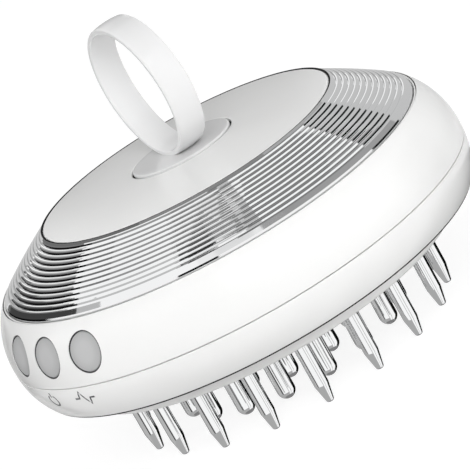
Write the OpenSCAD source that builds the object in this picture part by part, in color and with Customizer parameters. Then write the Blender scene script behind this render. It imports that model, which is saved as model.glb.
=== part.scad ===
// Electric scalp massager: a round housing with metal pins below, three side buttons,
// a ribbed trim ring and a lid that carries a swivelling finger ring.
// Millimetres. +Z is up, the pin tips stand on Z = 0 and the middle button faces -Y.

/* [Housing] */
// Widest diameter of the housing
body_d = 92; // [90:0.5:96]
// Wall of the two moulded shells
wall = 2; // [1.7:0.1:2.3]
// Height of the lower shell from its rim to the seam
band_h = 7.5; // [7.5:0.1:9]
// Height of the upright belly just above the seam
belly_h = 1.1; // [0.8:0.1:1.6]
// Height of the upper shell from the seam to the edge of the trim ring
shoulder_h = 11.3; // [11:0.1:12]
// Radius of the swell of the upper shell
swell_r = 15; // [14.5:0.1:16]
// Radius of the tuck of the lower shell
tuck_r = 13; // [12:0.5:15]
// Width of the open seam line between the shells
seam_gap = 0.15; // [0.1:0.05:0.2]

/* [Base plate] */
// How far the edge of the flat underside is set in from the widest line of the housing
plate_inset = 7.8; // [7.5:0.1:8.2]
// Drop of the underside below the rim of the lower shell
plate_drop = 3.4; // [3.2:0.1:4]
// Thickness of its floor
plate_t = 2; // [1.8:0.1:2.2]

/* [Pins] */
// Reach of the longest pins below the base plate
pin_reach = 13.3; // [11:0.1:15]
// Diameter of a long pin
long_pin_d = 2.7; // [2.4:0.1:3]
// Number of long pins
long_pin_count = 18; // [14:1:20]
// Distance from the edge of the underside in to the circle of long pins
pin_inset = 7.7; // [7.5:0.1:8]
// Length of the taper of a long pin
taper_h = 3.5; // [2.5:0.1:5]
// Diameter of the blunt end of a long pin
blunt_d = 1.5; // [1.2:0.1:1.8]
// Diameter of a round-nosed pin
round_pin_d = 3.4; // [3:0.1:3.6]
// How much shorter the round-nosed pins are
round_pin_rise = 1.1; // [0.5:0.1:2]
// Number of round-nosed pins in the middle circle
mid_pin_count = 16; // [12:1:18]
// Distance from the circle of long pins in to the middle circle
mid_inset = 9; // [8.8:0.1:10]
// Number of round-nosed pins in the inner circle
inner_pin_count = 8; // [6:1:9]
// Distance from the middle circle in to the inner circle
inner_inset = 10; // [8:0.5:11]

/* [Trim ring] */
// Width of the trim ring, measured level
trim_w = 12.05; // [11.8:0.05:12.6]
// Rise from its outer edge to its inner edge
trim_rise = 8.4; // [8.2:0.1:9]
// Thickness, measured upright
trim_t = 1.6; // [1.5:0.1:1.8]
// Number of grooves
groove_count = 12; // [8:1:14]
// Depth of a groove
groove_depth = 0.3; // [0.2:0.05:0.4]
// Plain band inside the grooves
inner_band = 1; // [0.6:0.1:1.6]
// Plain band outside the grooves
outer_band = 1.4; // [1:0.1:2]
// White lip of the upper shell around the trim ring
lip_w = 0.45; // [0.35:0.05:0.6]

/* [Lid] */
// Rise of the crown of the lid
lid_crown = 1.4; // [1.2:0.1:1.8]
// Rounding of the edge of the lid
lid_round = 0.8; // [0.5:0.1:1.2]
// Gap between the lid and the trim ring
lid_gap = 0.25; // [0.15:0.05:0.35]

/* [Finger ring] */
// Inner diameter, for one finger
ring_bore = 24.5; // [20:0.5:26]
// Wall of the ring
ring_wall = 1.2; // [1:0.1:1.5]
// Width of the band
ring_w = 5.6; // [5:0.1:6.5]
// Angle of the ring on its swivel, as it stands
ring_yaw = -11; // [-90:1:90]
// Diameter of the swivel base
swivel_d = 19.6; // [17:0.2:21]
// How far the swivel base stands proud of the lid
swivel_proud = 0.15; // [0:0.05:0.3]
// Diameter of the swivel stub in the lid
stub_d = 10; // [9.4:0.2:11]

/* [Buttons] */
// Diameter of a button cap
button_d = 7.7; // [7:0.1:7.8]
// Clearance around a cap
button_gap = 0.15; // [0.1:0.05:0.2]
// Angle from one button to the next
button_step = 13.6; // [13.4:0.1:15]
// Height of the buttons above the seam
button_rise = 5.9; // [5.6:0.1:6.3]
// Travel of a button
button_travel = 0.5; // [0.3:0.1:0.6]

/* [Drive] */
// Diameter of the battery cell
cell_d = 14; // [13:0.1:14.2]
// Length of the battery cell
cell_l = 50; // [44:0.5:50]
// Diameter of the vibration motor
motor_d = 12; // [10:0.5:12]
// Length of the motor can
motor_l = 20; // [18:0.5:22]
// Radius of the eccentric weight
weight_r = 5; // [4:0.1:5.4]

/* [Charging socket] */
// Width of the mouth of the socket shell
socket_w = 9; // [8:0.1:9.4]
// Height of the socket shell
socket_h = 3.2; // [2.8:0.1:3.3]

/* [Hidden] */
$fn = 96;
eps = 0.01;
body_r = body_d / 2;

// heights, from the pin tips up
z_plate = pin_reach;
z_floor = z_plate + plate_t;
z_rim = z_plate + plate_drop;
z_seam = z_rim + band_h;
z_belly = z_seam + belly_h;
z_edge = z_seam + shoulder_h;
z_lid = z_edge + trim_rise;
z_crown = z_lid + lid_crown;
z_ledge = z_lid - trim_t;

// the flange of the lower shell, clamped between the base plate and the screw posts
flange_z = z_rim + 0.2;
flange_t = 1.5;
flange_top = flange_z + flange_t;
flange_edge = 0.5;
plate_r = body_r - plate_inset;
plate_flare = 1.2;
plate_wall = 1.5;

// housing screws and the posts of the upper shell
post_inset = 3;
post_circle_r = plate_r - post_inset;
post_r = 3.2;
flange_r = post_circle_r - post_r + flange_edge;
post_angles = [45, 135, 225, 315];
screw_r = 1.25;
screw_hole_r = 1.5;
screw_grip = 0.01;
screw_head_r = 2.2;
screw_head_h = 1.5;
screw_bite = 7;
recess_h = 1.8;

// trim ring and the roof below it
trim_ro = body_r - swell_r + sqrt(pow(swell_r, 2) - pow(shoulder_h - belly_h, 2)) - lip_w;
trim_ri = trim_ro - trim_w;
trim_slope = trim_rise / (trim_ro - trim_ri);
trim_fit = 0.05;
roof_t = 2;
ledge_w = 4.5;
ledge_r = trim_ri - ledge_w;
peg_r = 1.2;
peg_circle_r = (trim_ro + trim_ri) / 2;
peg_count = 4;
peg_h = trim_t + roof_t + 0.6;
slant = sqrt(pow(trim_ro - trim_ri, 2) + pow(trim_rise, 2));
groove_pitch = (slant - inner_band - outer_band) / groove_count;
groove_w = 0.45 * groove_pitch;

// lid
lid_r = trim_ri - lid_gap;
lid_flat_r = lid_r - lid_round;
crown_r = (pow(lid_flat_r, 2) + pow(lid_crown, 2)) / (2 * lid_crown);
spigot_t = 1.6;
spigot_h = 2.2;
spigot_fit = 0.15;
lid_screw_circle_r = (ledge_r + lid_r) / 2;
lid_screw_r = 0.85;
lid_screw_head_r = 1.6;
lid_screw_head_h = 1;
lid_screw_angles = [25, 145, 265];

// swivel base, its stub and what holds it
swivel_r = swivel_d / 2;
swivel_side_gap = 0.3;
swivel_play = 0.05;
swivel_top = z_crown + swivel_proud;
swivel_round = 0.4;
stub_r = stub_d / 2;
stub_fit = 0.08;
boss_wall = 2.4;
boss_h = 3;
boss_low = z_ledge - boss_h;
friction_t = 0.4;
stub_low = boss_low - friction_t - swivel_play;
washer_t = 1;
washer_lap = 1.2;
washer_r = stub_r + washer_lap;
swivel_screw_r = 1.25;
swivel_head_r = 2.4;
swivel_head_h = 1.4;

// finger ring
ring_ri = ring_bore / 2;
ring_ro = ring_ri + ring_wall;
ring_sink = 0.6;
ring_z = swivel_top - ring_sink + ring_ro;
ring_bulge_r = 15;
foot_fit = 0.05;
foot_half = sqrt(pow(ring_ro, 2) - pow(ring_ro - ring_sink, 2)) + 0.1;
foot_h = 0.9;
key_w = 4;
key_h = 3.4;
key_low = swivel_top - foot_h - key_h;

// buttons, along the outward normal of the swell
button_tilt = asin((button_rise - belly_h) / swell_r);
bore_r = button_d / 2 + button_gap;
cap_sink = 0.05;
seat_depth = wall + 0.65;
seat_play = 0.05;
flange_lip = 0.9;
cap_flange_t = 0.8;
pocket_gap = 0.45;
pocket_deep = 9;
stem_r = 1.6;
stem_l = 3;
press_gap = 0.1;
cap_back = seat_depth + seat_play + cap_flange_t;
stem_end = cap_back + stem_l;
switch_face = stem_end + button_travel + press_gap;
nub_r = 1.6;
nub_h = 0.9;
switch_w = 6;
switch_h = 3.5;
switch_back = switch_face + nub_h + switch_h;
flex_t = 0.4;
flex_w = 7.4;
flex_h = 8;
flex_fit = 0.02;
facet_w = 8.8;
facet_t = 1.5;
facet_up = 4.5;
facet_down = 2.6;

// pins, and the main board on the standoffs of the base plate
tip_round = 0.45;
pin_head_t = 1;
pin_fit = 0.05;
spring_h = 2;
spring_r = 0.8;
board_z = z_floor + pin_head_t + spring_h;
board_t = 1.2;
board_gap = 0.2;
board_r = post_circle_r - post_r - board_gap;
long_circle_r = plate_r - pin_inset;
mid_circle_r = long_circle_r - mid_inset;
inner_circle_r = mid_circle_r - inner_inset;
standoff_circle_r = (long_circle_r + mid_circle_r) / 2;
standoff_r = 2.2;
stand_angles = [0, 90, 180, 270];
chassis_screw_r = 1;
chassis_screw_hole_r = 1.15;
chassis_head_r = 1.9;
chassis_head_h = 1.2;

// chassis above the main board
leg_h = 2.5;
chassis_z = board_z + board_t + leg_h;
chassis_t = 1.5;
chassis_top = chassis_z + chassis_t;
chassis_gap = 0.6;
chassis_r = post_circle_r - post_r - chassis_gap;
foot_plate_t = 1.5;
foot_in_r = standoff_circle_r - 2.5;
foot_out_r = body_r - 12.4;
foot_span = 36;
guide_r = 1.2;
guide_circle_r = chassis_r - 1.8;
guide_spread = 11;

// battery in its saddles
cell_lift = 0.8;
cell_y = 11;
cell_z = chassis_top + cell_lift + cell_d / 2;
cell_fit = 0.1;
saddle_x = [-19, 13];
saddle_w = 6;
saddle_wall = 1.6;
cell_cap_r = 2.6;
cell_cap_h = 0.8;

// motor, its clamp, shaft and weight
motor_y = -8;
motor_lift = 0.5;
motor_z = chassis_top + motor_lift + motor_d / 2;
motor_x = 6;
motor_fit = 0.05;
saddle_half = motor_d / 2 + 4.6;
clamp_w = 8;
clamp_x = motor_x - motor_l / 2 - clamp_w / 2;
clamp_wall = 1.2;
clamp_ear_t = 1.6;
clamp_screw_y = motor_d / 2 + 2.8;
clamp_screw_r = 0.9;
clamp_head_r = 1.5;
clamp_head_h = 1;
clamp_bite = 5;
shaft_r = 1;
shaft_fit = 0.05;
shaft_in = 6;
shaft_out = 9;
nose_r = 2.5;
nose_h = 1;
weight_start = 2.4;
weight_l = 6;
weight_hub_r = 2.2;

// charging socket at the back, in the lower shell
pad_r = 1.6;
pad_h = 0.5;
charge_board = [14, 8, 1];
charge_y = body_r - 12.6;
charge_z = flange_top + pad_h;
stake_r = 0.7;
stake_x = 5.4;
stake_inset = 1.6;
socket_l = 7.3;
socket_z = charge_z + charge_board[2];
socket_face = body_r - 0.75;
socket_round = 1.3;
socket_wall = 0.35;
socket_tongue = [6.4, 0.7];
mouth_gap = 0.25;

// colours
white = [0.95, 0.95, 0.94];
off_white = [0.88, 0.88, 0.87];
frosted = [0.76, 0.77, 0.77];
chrome = [0.8, 0.81, 0.83];
steel = [0.62, 0.63, 0.65];
board_green = [0.1, 0.36, 0.22];
cell_blue = [0.16, 0.3, 0.55];
dark = [0.14, 0.14, 0.15];
brass = [0.8, 0.65, 0.35];
amber = [0.78, 0.5, 0.16];

// radius of the upper shell at a height above the seam, a given depth below its surface
function swell_at(h, depth) =
    body_r - swell_r + sqrt(pow(swell_r - depth, 2) - pow(max(h - belly_h, 0), 2));

// height of the top of the trim ring at a radius
function trim_at(r) = z_edge + (trim_ro - r) * trim_slope;

// point on the slant of the trim ring, by distance from its outer edge and depth below it
function on_slant(s, depth) = [
    trim_ro - s * (trim_ro - trim_ri) / slant - depth * trim_rise / slant,
    z_edge + s * trim_rise / slant - depth * (trim_ro - trim_ri) / slant
];

// half section of the swell of the upper shell, a given depth inside its surface
module swell_half(depth, low) {
    core = body_r - swell_r;
    translate([0, low])
        square([core, z_edge - low]);
    translate([0, low])
        square([body_r - depth, z_belly - low]);
    intersection() {
        translate([core, z_belly])
            circle(r = swell_r - depth);
        translate([core - eps, z_belly - eps])
            square([swell_r, z_edge - z_belly + eps]);
    }
}

// half section of the tuck of the lower shell, a given depth inside its surface
module tuck_half(depth, low, high) {
    core = body_r - tuck_r;
    translate([0, low])
        square([core, high - low]);
    intersection() {
        translate([core, z_seam])
            circle(r = tuck_r - depth);
        translate([core - eps, low])
            square([tuck_r + eps, high - low]);
    }
}

module at_polar(r, angle) {
    rotate([0, 0, angle])
        translate([r, 0, 0])
            children();
}

// places children on a button axis: local +Z points outward and local 0 is on the swell
module at_button(i) {
    rotate([0, 0, (i - 1) * button_step - 90])
        translate([body_r - swell_r, 0, z_belly])
            rotate([0, 90 - button_tilt, 0])
                translate([0, 0, swell_r])
                    children();
}

module tube(r_out, r_in, h) {
    difference() {
        cylinder(r = r_out, h = h);
        translate([0, 0, -1])
            cylinder(r = r_in, h = h + 2);
    }
}

module upper_shell() {
    roof_out = trim_ro + 1.3;
    tongue_h = 1.5;
    tongue_t = 1.3;
    tongue_fit = 0.15;
    rib_t = 1.2;
    post_top = trim_at(post_circle_r + post_r) - trim_t - 0.6;
    color(white)
    difference() {
        union() {
            rotate_extrude()
                difference() {
                    union() {
                        difference() {
                            swell_half(0, z_seam);
                            swell_half(wall, z_seam - 1);
                        }
                        polygon([
                            [roof_out, trim_at(roof_out) - trim_t],
                            [trim_ri, z_ledge],
                            [trim_ri, z_ledge - roof_t],
                            [roof_out, trim_at(roof_out) - trim_t - roof_t]
                        ]);
                        translate([ledge_r, z_ledge - roof_t])
                            square([trim_ri - ledge_r + eps, roof_t]);
                        translate([body_r - wall - tongue_fit - tongue_t, z_seam - tongue_h])
                            square([tongue_t, tongue_h + 1]);
                        translate([body_r - wall - tongue_fit - tongue_t, z_seam])
                            square([tongue_t + tongue_fit + eps, 1]);
                    }
                    polygon([
                        [trim_ro + trim_fit, z_edge + 1],
                        [trim_ro + trim_fit, trim_at(trim_ro + trim_fit) - trim_t],
                        [trim_ri, z_ledge],
                        [trim_ri, z_edge + trim_rise]
                    ]);
                }
            for (a = post_angles) {
                at_polar(post_circle_r, a)
                    translate([0, 0, flange_top])
                        cylinder(r = post_r, h = post_top - flange_top);
                at_polar(post_circle_r + post_r - 1, a)
                    translate([0, -rib_t / 2, z_belly])
                        cube([swell_at(6, wall / 2) - post_circle_r - post_r + 1, rib_t, 5.5]);
            }
        }
        socket_slot();
        for (a = post_angles)
            at_polar(post_circle_r, a)
                translate([0, 0, flange_top - 1])
                    cylinder(r = screw_r + screw_grip, h = screw_bite + 2);
        for (k = [0 : peg_count - 1])
            at_polar(peg_circle_r, k * 360 / peg_count)
                translate([0, 0, z_edge - 5])
                    cylinder(r = peg_r + 0.1, h = trim_rise + 6);
        for (a = lid_screw_angles)
            at_polar(lid_screw_circle_r, a)
                translate([0, 0, z_ledge - roof_t - 1])
                    cylinder(r = lid_screw_r + 0.2, h = roof_t + 2);
        for (i = [0 : 2])
            at_button(i) {
                translate([0, 0, -pocket_deep])
                    cylinder(r = bore_r, h = pocket_deep + wall);
                translate([0, 0, -pocket_deep])
                    cylinder(r = bore_r + flange_lip + pocket_gap, h = pocket_deep - seat_depth);
            }
    }
}

module lower_shell() {
    color(white)
    difference() {
        union() {
            rotate_extrude()
                difference() {
                    tuck_half(0, z_rim, z_seam - seam_gap);
                    difference() {
                        tuck_half(wall, z_rim - 1, z_seam + 1);
                        translate([flange_r, flange_z])
                            square([body_r, flange_t]);
                    }
                }
            for (s = [-1, 1])
                translate([s * stake_x, charge_y + stake_inset, flange_top]) {
                    cylinder(r = pad_r, h = pad_h);
                    cylinder(r = stake_r, h = pad_h + charge_board[2] + 0.5);
                }
        }
        for (a = post_angles)
            at_polar(post_circle_r, a)
                translate([0, 0, z_rim - 1])
                    cylinder(r = screw_hole_r, h = flange_t + 3);
        socket_slot();
    }
}

// what both shells leave open for the charging socket
module socket_slot() {
    translate([0, body_r - wall - 4, socket_z + socket_h / 2])
        rotate([-90, 0, 0])
            linear_extrude(wall + 8)
                rounded_slot(socket_w + 2 * mouth_gap, socket_h + 2 * mouth_gap, socket_round + mouth_gap);
}

// flat slot with round corners, centred
module rounded_slot(w, h, r) {
    square([w - 2 * r, h], center = true);
    square([w, h - 2 * r], center = true);
    for (x = [-1, 1])
        for (y = [-1, 1])
            translate([x * (w / 2 - r), y * (h / 2 - r)])
                circle(r = r);
}

module base_plate() {
    top_r = plate_r + plate_flare;
    edge = 0.6;
    boss_r = screw_head_r + 0.9;
    color(white)
    difference() {
        union() {
            rotate_extrude()
                polygon([
                    [0, z_plate],
                    [plate_r - edge, z_plate],
                    [plate_r, z_plate + edge],
                    [top_r, flange_z],
                    [top_r - plate_wall, flange_z],
                    [plate_r - plate_wall, z_floor],
                    [0, z_floor]
                ]);
            for (a = post_angles)
                at_polar(post_circle_r, a)
                    translate([0, 0, z_plate + 0.3])
                        cylinder(r = boss_r, h = flange_z - z_plate - 0.3);
            for (a = stand_angles)
                at_polar(standoff_circle_r, a)
                    translate([0, 0, z_floor - eps])
                        cylinder(r = standoff_r, h = board_z - z_floor + eps);
        }
        for (a = post_angles)
            at_polar(post_circle_r, a) {
                translate([0, 0, z_plate - 1])
                    cylinder(r = screw_head_r + 0.2, h = recess_h + 1);
                translate([0, 0, z_plate - 1])
                    cylinder(r = screw_hole_r, h = plate_drop + 3);
            }
        for (a = stand_angles)
            at_polar(standoff_circle_r, a)
                translate([0, 0, z_floor])
                    cylinder(r = chassis_screw_r + screw_grip, h = board_z - z_floor + 1);
        pin_circle(long_pin_count, long_circle_r)
            translate([0, 0, z_plate - 1])
                cylinder(r = long_pin_d / 2 + pin_fit, h = plate_t + 2);
        pin_circle(mid_pin_count, mid_circle_r)
            translate([0, 0, z_plate - 1])
                cylinder(r = round_pin_d / 2 + pin_fit, h = plate_t + 2);
        pin_circle(inner_pin_count, inner_circle_r)
            translate([0, 0, z_plate - 1])
                cylinder(r = round_pin_d / 2 + pin_fit, h = plate_t + 2);
    }
}

// a circle of pins, the first at the front
module pin_circle(count, r) {
    for (k = [0 : count - 1])
        at_polar(r, k * 360 / count - 90)
            children();
}

module long_pin() {
    r = long_pin_d / 2;
    tip_r = blunt_d / 2;
    shoulder = 0.1;
    rotate_extrude() {
        translate([0, taper_h])
            square([r, z_floor - taper_h + eps]);
        polygon([
            [0, tip_round],
            [tip_r, tip_round],
            [r - shoulder, taper_h],
            [0, taper_h]
        ]);
        square([tip_r - tip_round, tip_round + eps]);
        intersection() {
            translate([tip_r - tip_round, tip_round])
                circle(r = tip_round);
            translate([tip_r - tip_round - eps, 0])
                square([tip_round + eps, tip_round + eps]);
        }
        translate([0, z_floor])
            square([r + 0.65, pin_head_t]);
    }
}

module round_pin() {
    r = round_pin_d / 2;
    rotate_extrude() {
        translate([0, round_pin_rise + r])
            square([r, z_floor - round_pin_rise - r + eps]);
        intersection() {
            translate([0, round_pin_rise + r])
                circle(r = r);
            translate([0, round_pin_rise])
                square([r, r + eps]);
        }
        translate([0, z_floor])
            square([r + 0.5, pin_head_t]);
    }
}

module long_pins() {
    color(chrome)
        pin_circle(long_pin_count, long_circle_r)
            long_pin();
}

module middle_round_pins() {
    color(chrome)
        pin_circle(mid_pin_count, mid_circle_r)
            round_pin();
}

module inner_round_pins() {
    color(chrome)
        pin_circle(inner_pin_count, inner_circle_r)
            round_pin();
}

module contact_springs() {
    color(brass)
        translate([0, 0, z_floor + pin_head_t]) {
            pin_circle(long_pin_count, long_circle_r)
                cylinder(r = spring_r, h = spring_h, $fn = 24);
            pin_circle(mid_pin_count, mid_circle_r)
                cylinder(r = spring_r, h = spring_h, $fn = 24);
            pin_circle(inner_pin_count, inner_circle_r)
                cylinder(r = spring_r, h = spring_h, $fn = 24);
        }
}

module top_lid() {
    recess_r = swivel_r + swivel_side_gap;
    spigot_r = ledge_r - spigot_fit;
    color(white)
    difference() {
        union() {
            rotate_extrude()
                union() {
                    intersection() {
                        translate([0, z_ledge])
                            square([lid_flat_r, z_crown - z_ledge]);
                        translate([0, z_crown - crown_r])
                            circle(r = crown_r, $fn = 720);
                    }
                    translate([0, z_ledge])
                        square([lid_r, z_lid - lid_round - z_ledge]);
                    intersection() {
                        translate([lid_flat_r, z_lid - lid_round])
                            circle(r = lid_round);
                        translate([lid_flat_r - eps, z_lid - lid_round - eps])
                            square([lid_round + eps, lid_round + eps]);
                    }
                    translate([spigot_r - spigot_t, z_ledge - spigot_h])
                        square([spigot_t, spigot_h + eps]);
                    translate([0, boss_low])
                        square([stub_r + boss_wall, boss_h + eps]);
                }
        }
        translate([0, 0, z_lid])
            cylinder(r = recess_r, h = lid_crown + 1);
        translate([0, 0, boss_low - 1])
            cylinder(r = stub_r + stub_fit, h = z_lid - boss_low + 2);
        for (a = lid_screw_angles)
            at_polar(lid_screw_circle_r, a)
                translate([0, 0, z_ledge - 1])
                    cylinder(r = lid_screw_r + screw_grip, h = 1 + trim_t);
    }
}

module ribbed_trim_ring() {
    grooves = [for (k = [0 : groove_count - 1]) outer_band + (k + 0.5) * groove_pitch];
    rib_points = [for (s = grooves) each [
        on_slant(s - groove_w / 2, 0),
        on_slant(s, groove_depth),
        on_slant(s + groove_w / 2, 0)
    ]];
    color(chrome) {
        rotate_extrude($fn = 180)
            polygon(concat(
                [[trim_ro, z_edge - trim_t], [trim_ro, z_edge]],
                rib_points,
                [[trim_ri, z_lid], [trim_ri, z_ledge]]
            ));
        for (k = [0 : peg_count - 1])
            at_polar(peg_circle_r, k * 360 / peg_count)
                translate([0, 0, trim_at(peg_circle_r) - peg_h])
                    cylinder(r = peg_r, h = peg_h - trim_t / 2);
    }
}

module swivel_base() {
    foot_w = ring_w / 2 + foot_fit;
    color(off_white)
    difference() {
        rotate_extrude()
            union() {
                translate([0, z_lid + swivel_play])
                    square([swivel_r, swivel_top - swivel_round - z_lid - swivel_play]);
                translate([0, z_lid + swivel_play])
                    square([swivel_r - swivel_round, swivel_top - z_lid - swivel_play]);
                translate([swivel_r - swivel_round, swivel_top - swivel_round])
                    circle(r = swivel_round);
                translate([0, stub_low])
                    square([stub_r, z_lid - stub_low + 0.5]);
            }
        rotate([0, 0, ring_yaw]) {
            translate([-foot_half - foot_fit, -foot_w, swivel_top - foot_h - foot_fit])
                cube([2 * (foot_half + foot_fit), 2 * foot_w, foot_h + 1]);
            translate([-key_w / 2 - foot_fit, -key_w / 2 - foot_fit, key_low - foot_fit])
                cube([key_w + 2 * foot_fit, key_w + 2 * foot_fit, key_h + 1]);
        }
        translate([0, 0, stub_low - 1])
            cylinder(r = swivel_screw_r + 0.15, h = key_low - stub_low + 2);
    }
}

module finger_ring() {
    color(white)
    rotate([0, 0, ring_yaw])
        difference() {
            union() {
                translate([0, 0, ring_z])
                    rotate([90, 0, 0])
                        rotate_extrude()
                            intersection() {
                                translate([ring_ri, -ring_w / 2])
                                    square([ring_wall, ring_w]);
                                translate([ring_ro - ring_bulge_r, 0])
                                    circle(r = ring_bulge_r, $fn = 180);
                            }
                translate([-foot_half, -ring_w / 2, swivel_top - foot_h])
                    cube([2 * foot_half, ring_w, foot_h]);
                translate([-foot_half / 2, -ring_w / 2, swivel_top - foot_h])
                    cube([foot_half, ring_w, foot_h + 0.1]);
                translate([-key_w / 2, -key_w / 2, key_low])
                    cube([key_w, key_w, key_h + eps]);
            }
            translate([0, 0, key_low - 1])
                cylinder(r = swivel_screw_r + screw_grip, h = key_h + 1);
        }
}

module retaining_washer() {
    color(steel)
    translate([0, 0, stub_low - washer_t])
        tube(washer_r, swivel_screw_r + 0.15, washer_t);
}

module friction_washer() {
    color(dark)
    translate([0, 0, boss_low - friction_t])
        tube(stub_r + boss_wall - 0.2, stub_r + stub_fit, friction_t);
}

module swivel_screw() {
    color(steel)
    translate([0, 0, stub_low - washer_t]) {
        translate([0, 0, -swivel_head_h])
            cylinder(r = swivel_head_r, h = swivel_head_h);
        cylinder(r = swivel_screw_r, h = key_low + key_h - 0.4 - stub_low + washer_t);
    }
}

module button_cap(i) {
    color(frosted) {
        intersection() {
            at_button(i)
                translate([0, 0, -cap_back])
                    cylinder(r = button_d / 2, h = cap_back + 2);
            rotate_extrude()
                swell_half(cap_sink, z_seam - 4);
        }
        at_button(i) {
            translate([0, 0, -cap_back])
                cylinder(r = bore_r + flange_lip, h = cap_flange_t);
            translate([0, 0, -stem_end])
                cylinder(r = stem_r, h = stem_l + eps);
        }
    }
}

module power_button() {
    button_cap(0);
}

module pulse_button() {
    button_cap(1);
}

module level_button() {
    button_cap(2);
}

module tact_switches() {
    color(dark)
        for (i = [0 : 2])
            at_button(i) {
                translate([-switch_w / 2, -switch_w / 2, -switch_back])
                    cube([switch_w, switch_w, switch_h]);
                translate([0, 0, -switch_back + switch_h - eps])
                    cylinder(r = nub_r, h = nub_h + eps);
            }
}

module switch_flex() {
    color(amber)
        for (i = [0 : 2])
            at_button(i)
                translate([-flex_h / 2, -flex_w / 2, -switch_back - flex_t])
                    cube([flex_h - 1.4, flex_w, flex_t]);
}

module switch_bracket() {
    color(off_white)
    difference() {
        union() {
            for (i = [0 : 2])
                at_button(i)
                    translate([-facet_up, -facet_w / 2, -switch_back - flex_t - facet_t])
                        cube([facet_up + facet_down + 1, facet_w, facet_t]);
            rotate([0, 0, -90 - foot_span / 2])
                rotate_extrude(angle = foot_span)
                    translate([foot_in_r, chassis_top])
                        square([foot_out_r - foot_in_r, foot_plate_t]);
        }
        for (i = [0 : 2])
            at_button(i)
                translate([-facet_up - 1, -facet_w / 2 - 1, -switch_back - flex_t - flex_fit])
                    cube([facet_up + facet_down + 3, facet_w + 2, facet_t]);
        at_polar(standoff_circle_r, -90)
            translate([0, 0, chassis_top - 1])
                cylinder(r = chassis_screw_hole_r, h = foot_plate_t + 2);
        for (s = [-1, 1])
            at_polar(guide_circle_r, -90 + s * guide_spread)
                translate([0, 0, chassis_top - 1])
                    cylinder(r = guide_r + 0.1, h = foot_plate_t + 2);
    }
}

module main_board() {
    color(board_green)
    difference() {
        translate([0, 0, board_z])
            cylinder(r = board_r, h = board_t);
        for (a = stand_angles)
            at_polar(standoff_circle_r, a)
                translate([0, 0, board_z - 1])
                    cylinder(r = chassis_screw_hole_r, h = board_t + 2);
    }
}

// chips stand on the main board: centre x, y and size
module board_chips() {
    chips = [[-10, 8, 7, 7, 1], [9, 12, 5, 5, 1], [-8, -12, 8, 5, 1.6], [12, -6, 5, 4, 1.2]];
    color(dark)
        for (c = chips)
            translate([c[0] - c[2] / 2, c[1] - c[3] / 2, board_z + board_t])
                cube([c[2], c[3], c[4]]);
}

module pulse_coil() {
    color(brass)
    translate([2, 0, board_z + board_t])
        cylinder(r = 4, h = leg_h - 0.4);
}

module chassis() {
    color(off_white)
    difference() {
        union() {
            translate([0, 0, chassis_z])
                cylinder(r = chassis_r, h = chassis_t);
            for (a = stand_angles)
                at_polar(standoff_circle_r, a)
                    translate([0, 0, board_z + board_t])
                        cylinder(r = standoff_r, h = leg_h + eps);
            for (x = saddle_x)
                translate([x, cell_y - cell_d / 2 - saddle_wall, chassis_top - eps])
                    cube([saddle_w, cell_d + 2 * saddle_wall, cell_z - chassis_top]);
            translate([clamp_x, motor_y - saddle_half, chassis_top - eps])
                cube([clamp_w, 2 * saddle_half, motor_z - chassis_top]);
            for (s = [-1, 1])
                at_polar(guide_circle_r, -90 + s * guide_spread)
                    translate([0, 0, chassis_top - eps])
                        cylinder(r = guide_r, h = foot_plate_t + 0.4);
        }
        for (a = stand_angles)
            at_polar(standoff_circle_r, a)
                translate([0, 0, board_z])
                    cylinder(r = chassis_screw_hole_r, h = leg_h + chassis_t + 3);
        translate([-cell_l / 2 - 1, cell_y, cell_z])
            rotate([0, 90, 0])
                cylinder(r = cell_d / 2 + cell_fit, h = cell_l + 2);
        translate([clamp_x - 1, motor_y, motor_z])
            rotate([0, 90, 0])
                cylinder(r = motor_d / 2 + motor_fit, h = clamp_w + 2);
        for (s = [-1, 1])
            translate([clamp_x + clamp_w / 2, motor_y + s * clamp_screw_y, motor_z - clamp_bite])
                cylinder(r = clamp_screw_r + screw_grip, h = clamp_bite + 1);
    }
}

module battery_cell() {
    color(cell_blue)
    translate([-cell_l / 2, cell_y, cell_z])
        rotate([0, 90, 0]) {
            cylinder(r = cell_d / 2, h = cell_l - cell_cap_h);
            cylinder(r = cell_cap_r, h = cell_l);
        }
}

// spring strap that snaps over the cell, between the saddles
module battery_strap() {
    strap_w = 8;
    strap_t = 0.8;
    strap_r = cell_d / 2 + cell_fit;
    color(steel)
    difference() {
        translate([-strap_w / 2, cell_y, cell_z]) {
            rotate([0, 90, 0])
                cylinder(r = strap_r + strap_t, h = strap_w);
            for (s = [-1, 1])
                translate([0, s * (strap_r + strap_t / 2) - strap_t / 2, chassis_top - cell_z])
                    cube([strap_w, strap_t, cell_z - chassis_top]);
        }
        translate([-strap_w / 2 - 1, cell_y, cell_z])
            rotate([0, 90, 0])
                cylinder(r = strap_r, h = strap_w + 2);
        translate([-strap_w / 2 - 1, cell_y - strap_r, chassis_top - 1])
            cube([strap_w + 2, 2 * strap_r, cell_z - chassis_top + 1]);
    }
}

module motor_can() {
    color(steel)
    translate([motor_x, motor_y, motor_z])
        rotate([0, 90, 0])
            difference() {
                union() {
                    translate([0, 0, -motor_l])
                        cylinder(r = motor_d / 2, h = motor_l);
                    translate([0, 0, -eps])
                        cylinder(r = nose_r, h = nose_h);
                }
                translate([0, 0, -shaft_in])
                    cylinder(r = shaft_r + shaft_fit, h = shaft_in + nose_h + 1);
            }
}

module motor_shaft() {
    color(chrome)
    translate([motor_x, motor_y, motor_z])
        rotate([0, 90, 0])
            translate([0, 0, -shaft_in + 0.1])
                cylinder(r = shaft_r, h = shaft_in + shaft_out);
}

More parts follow.
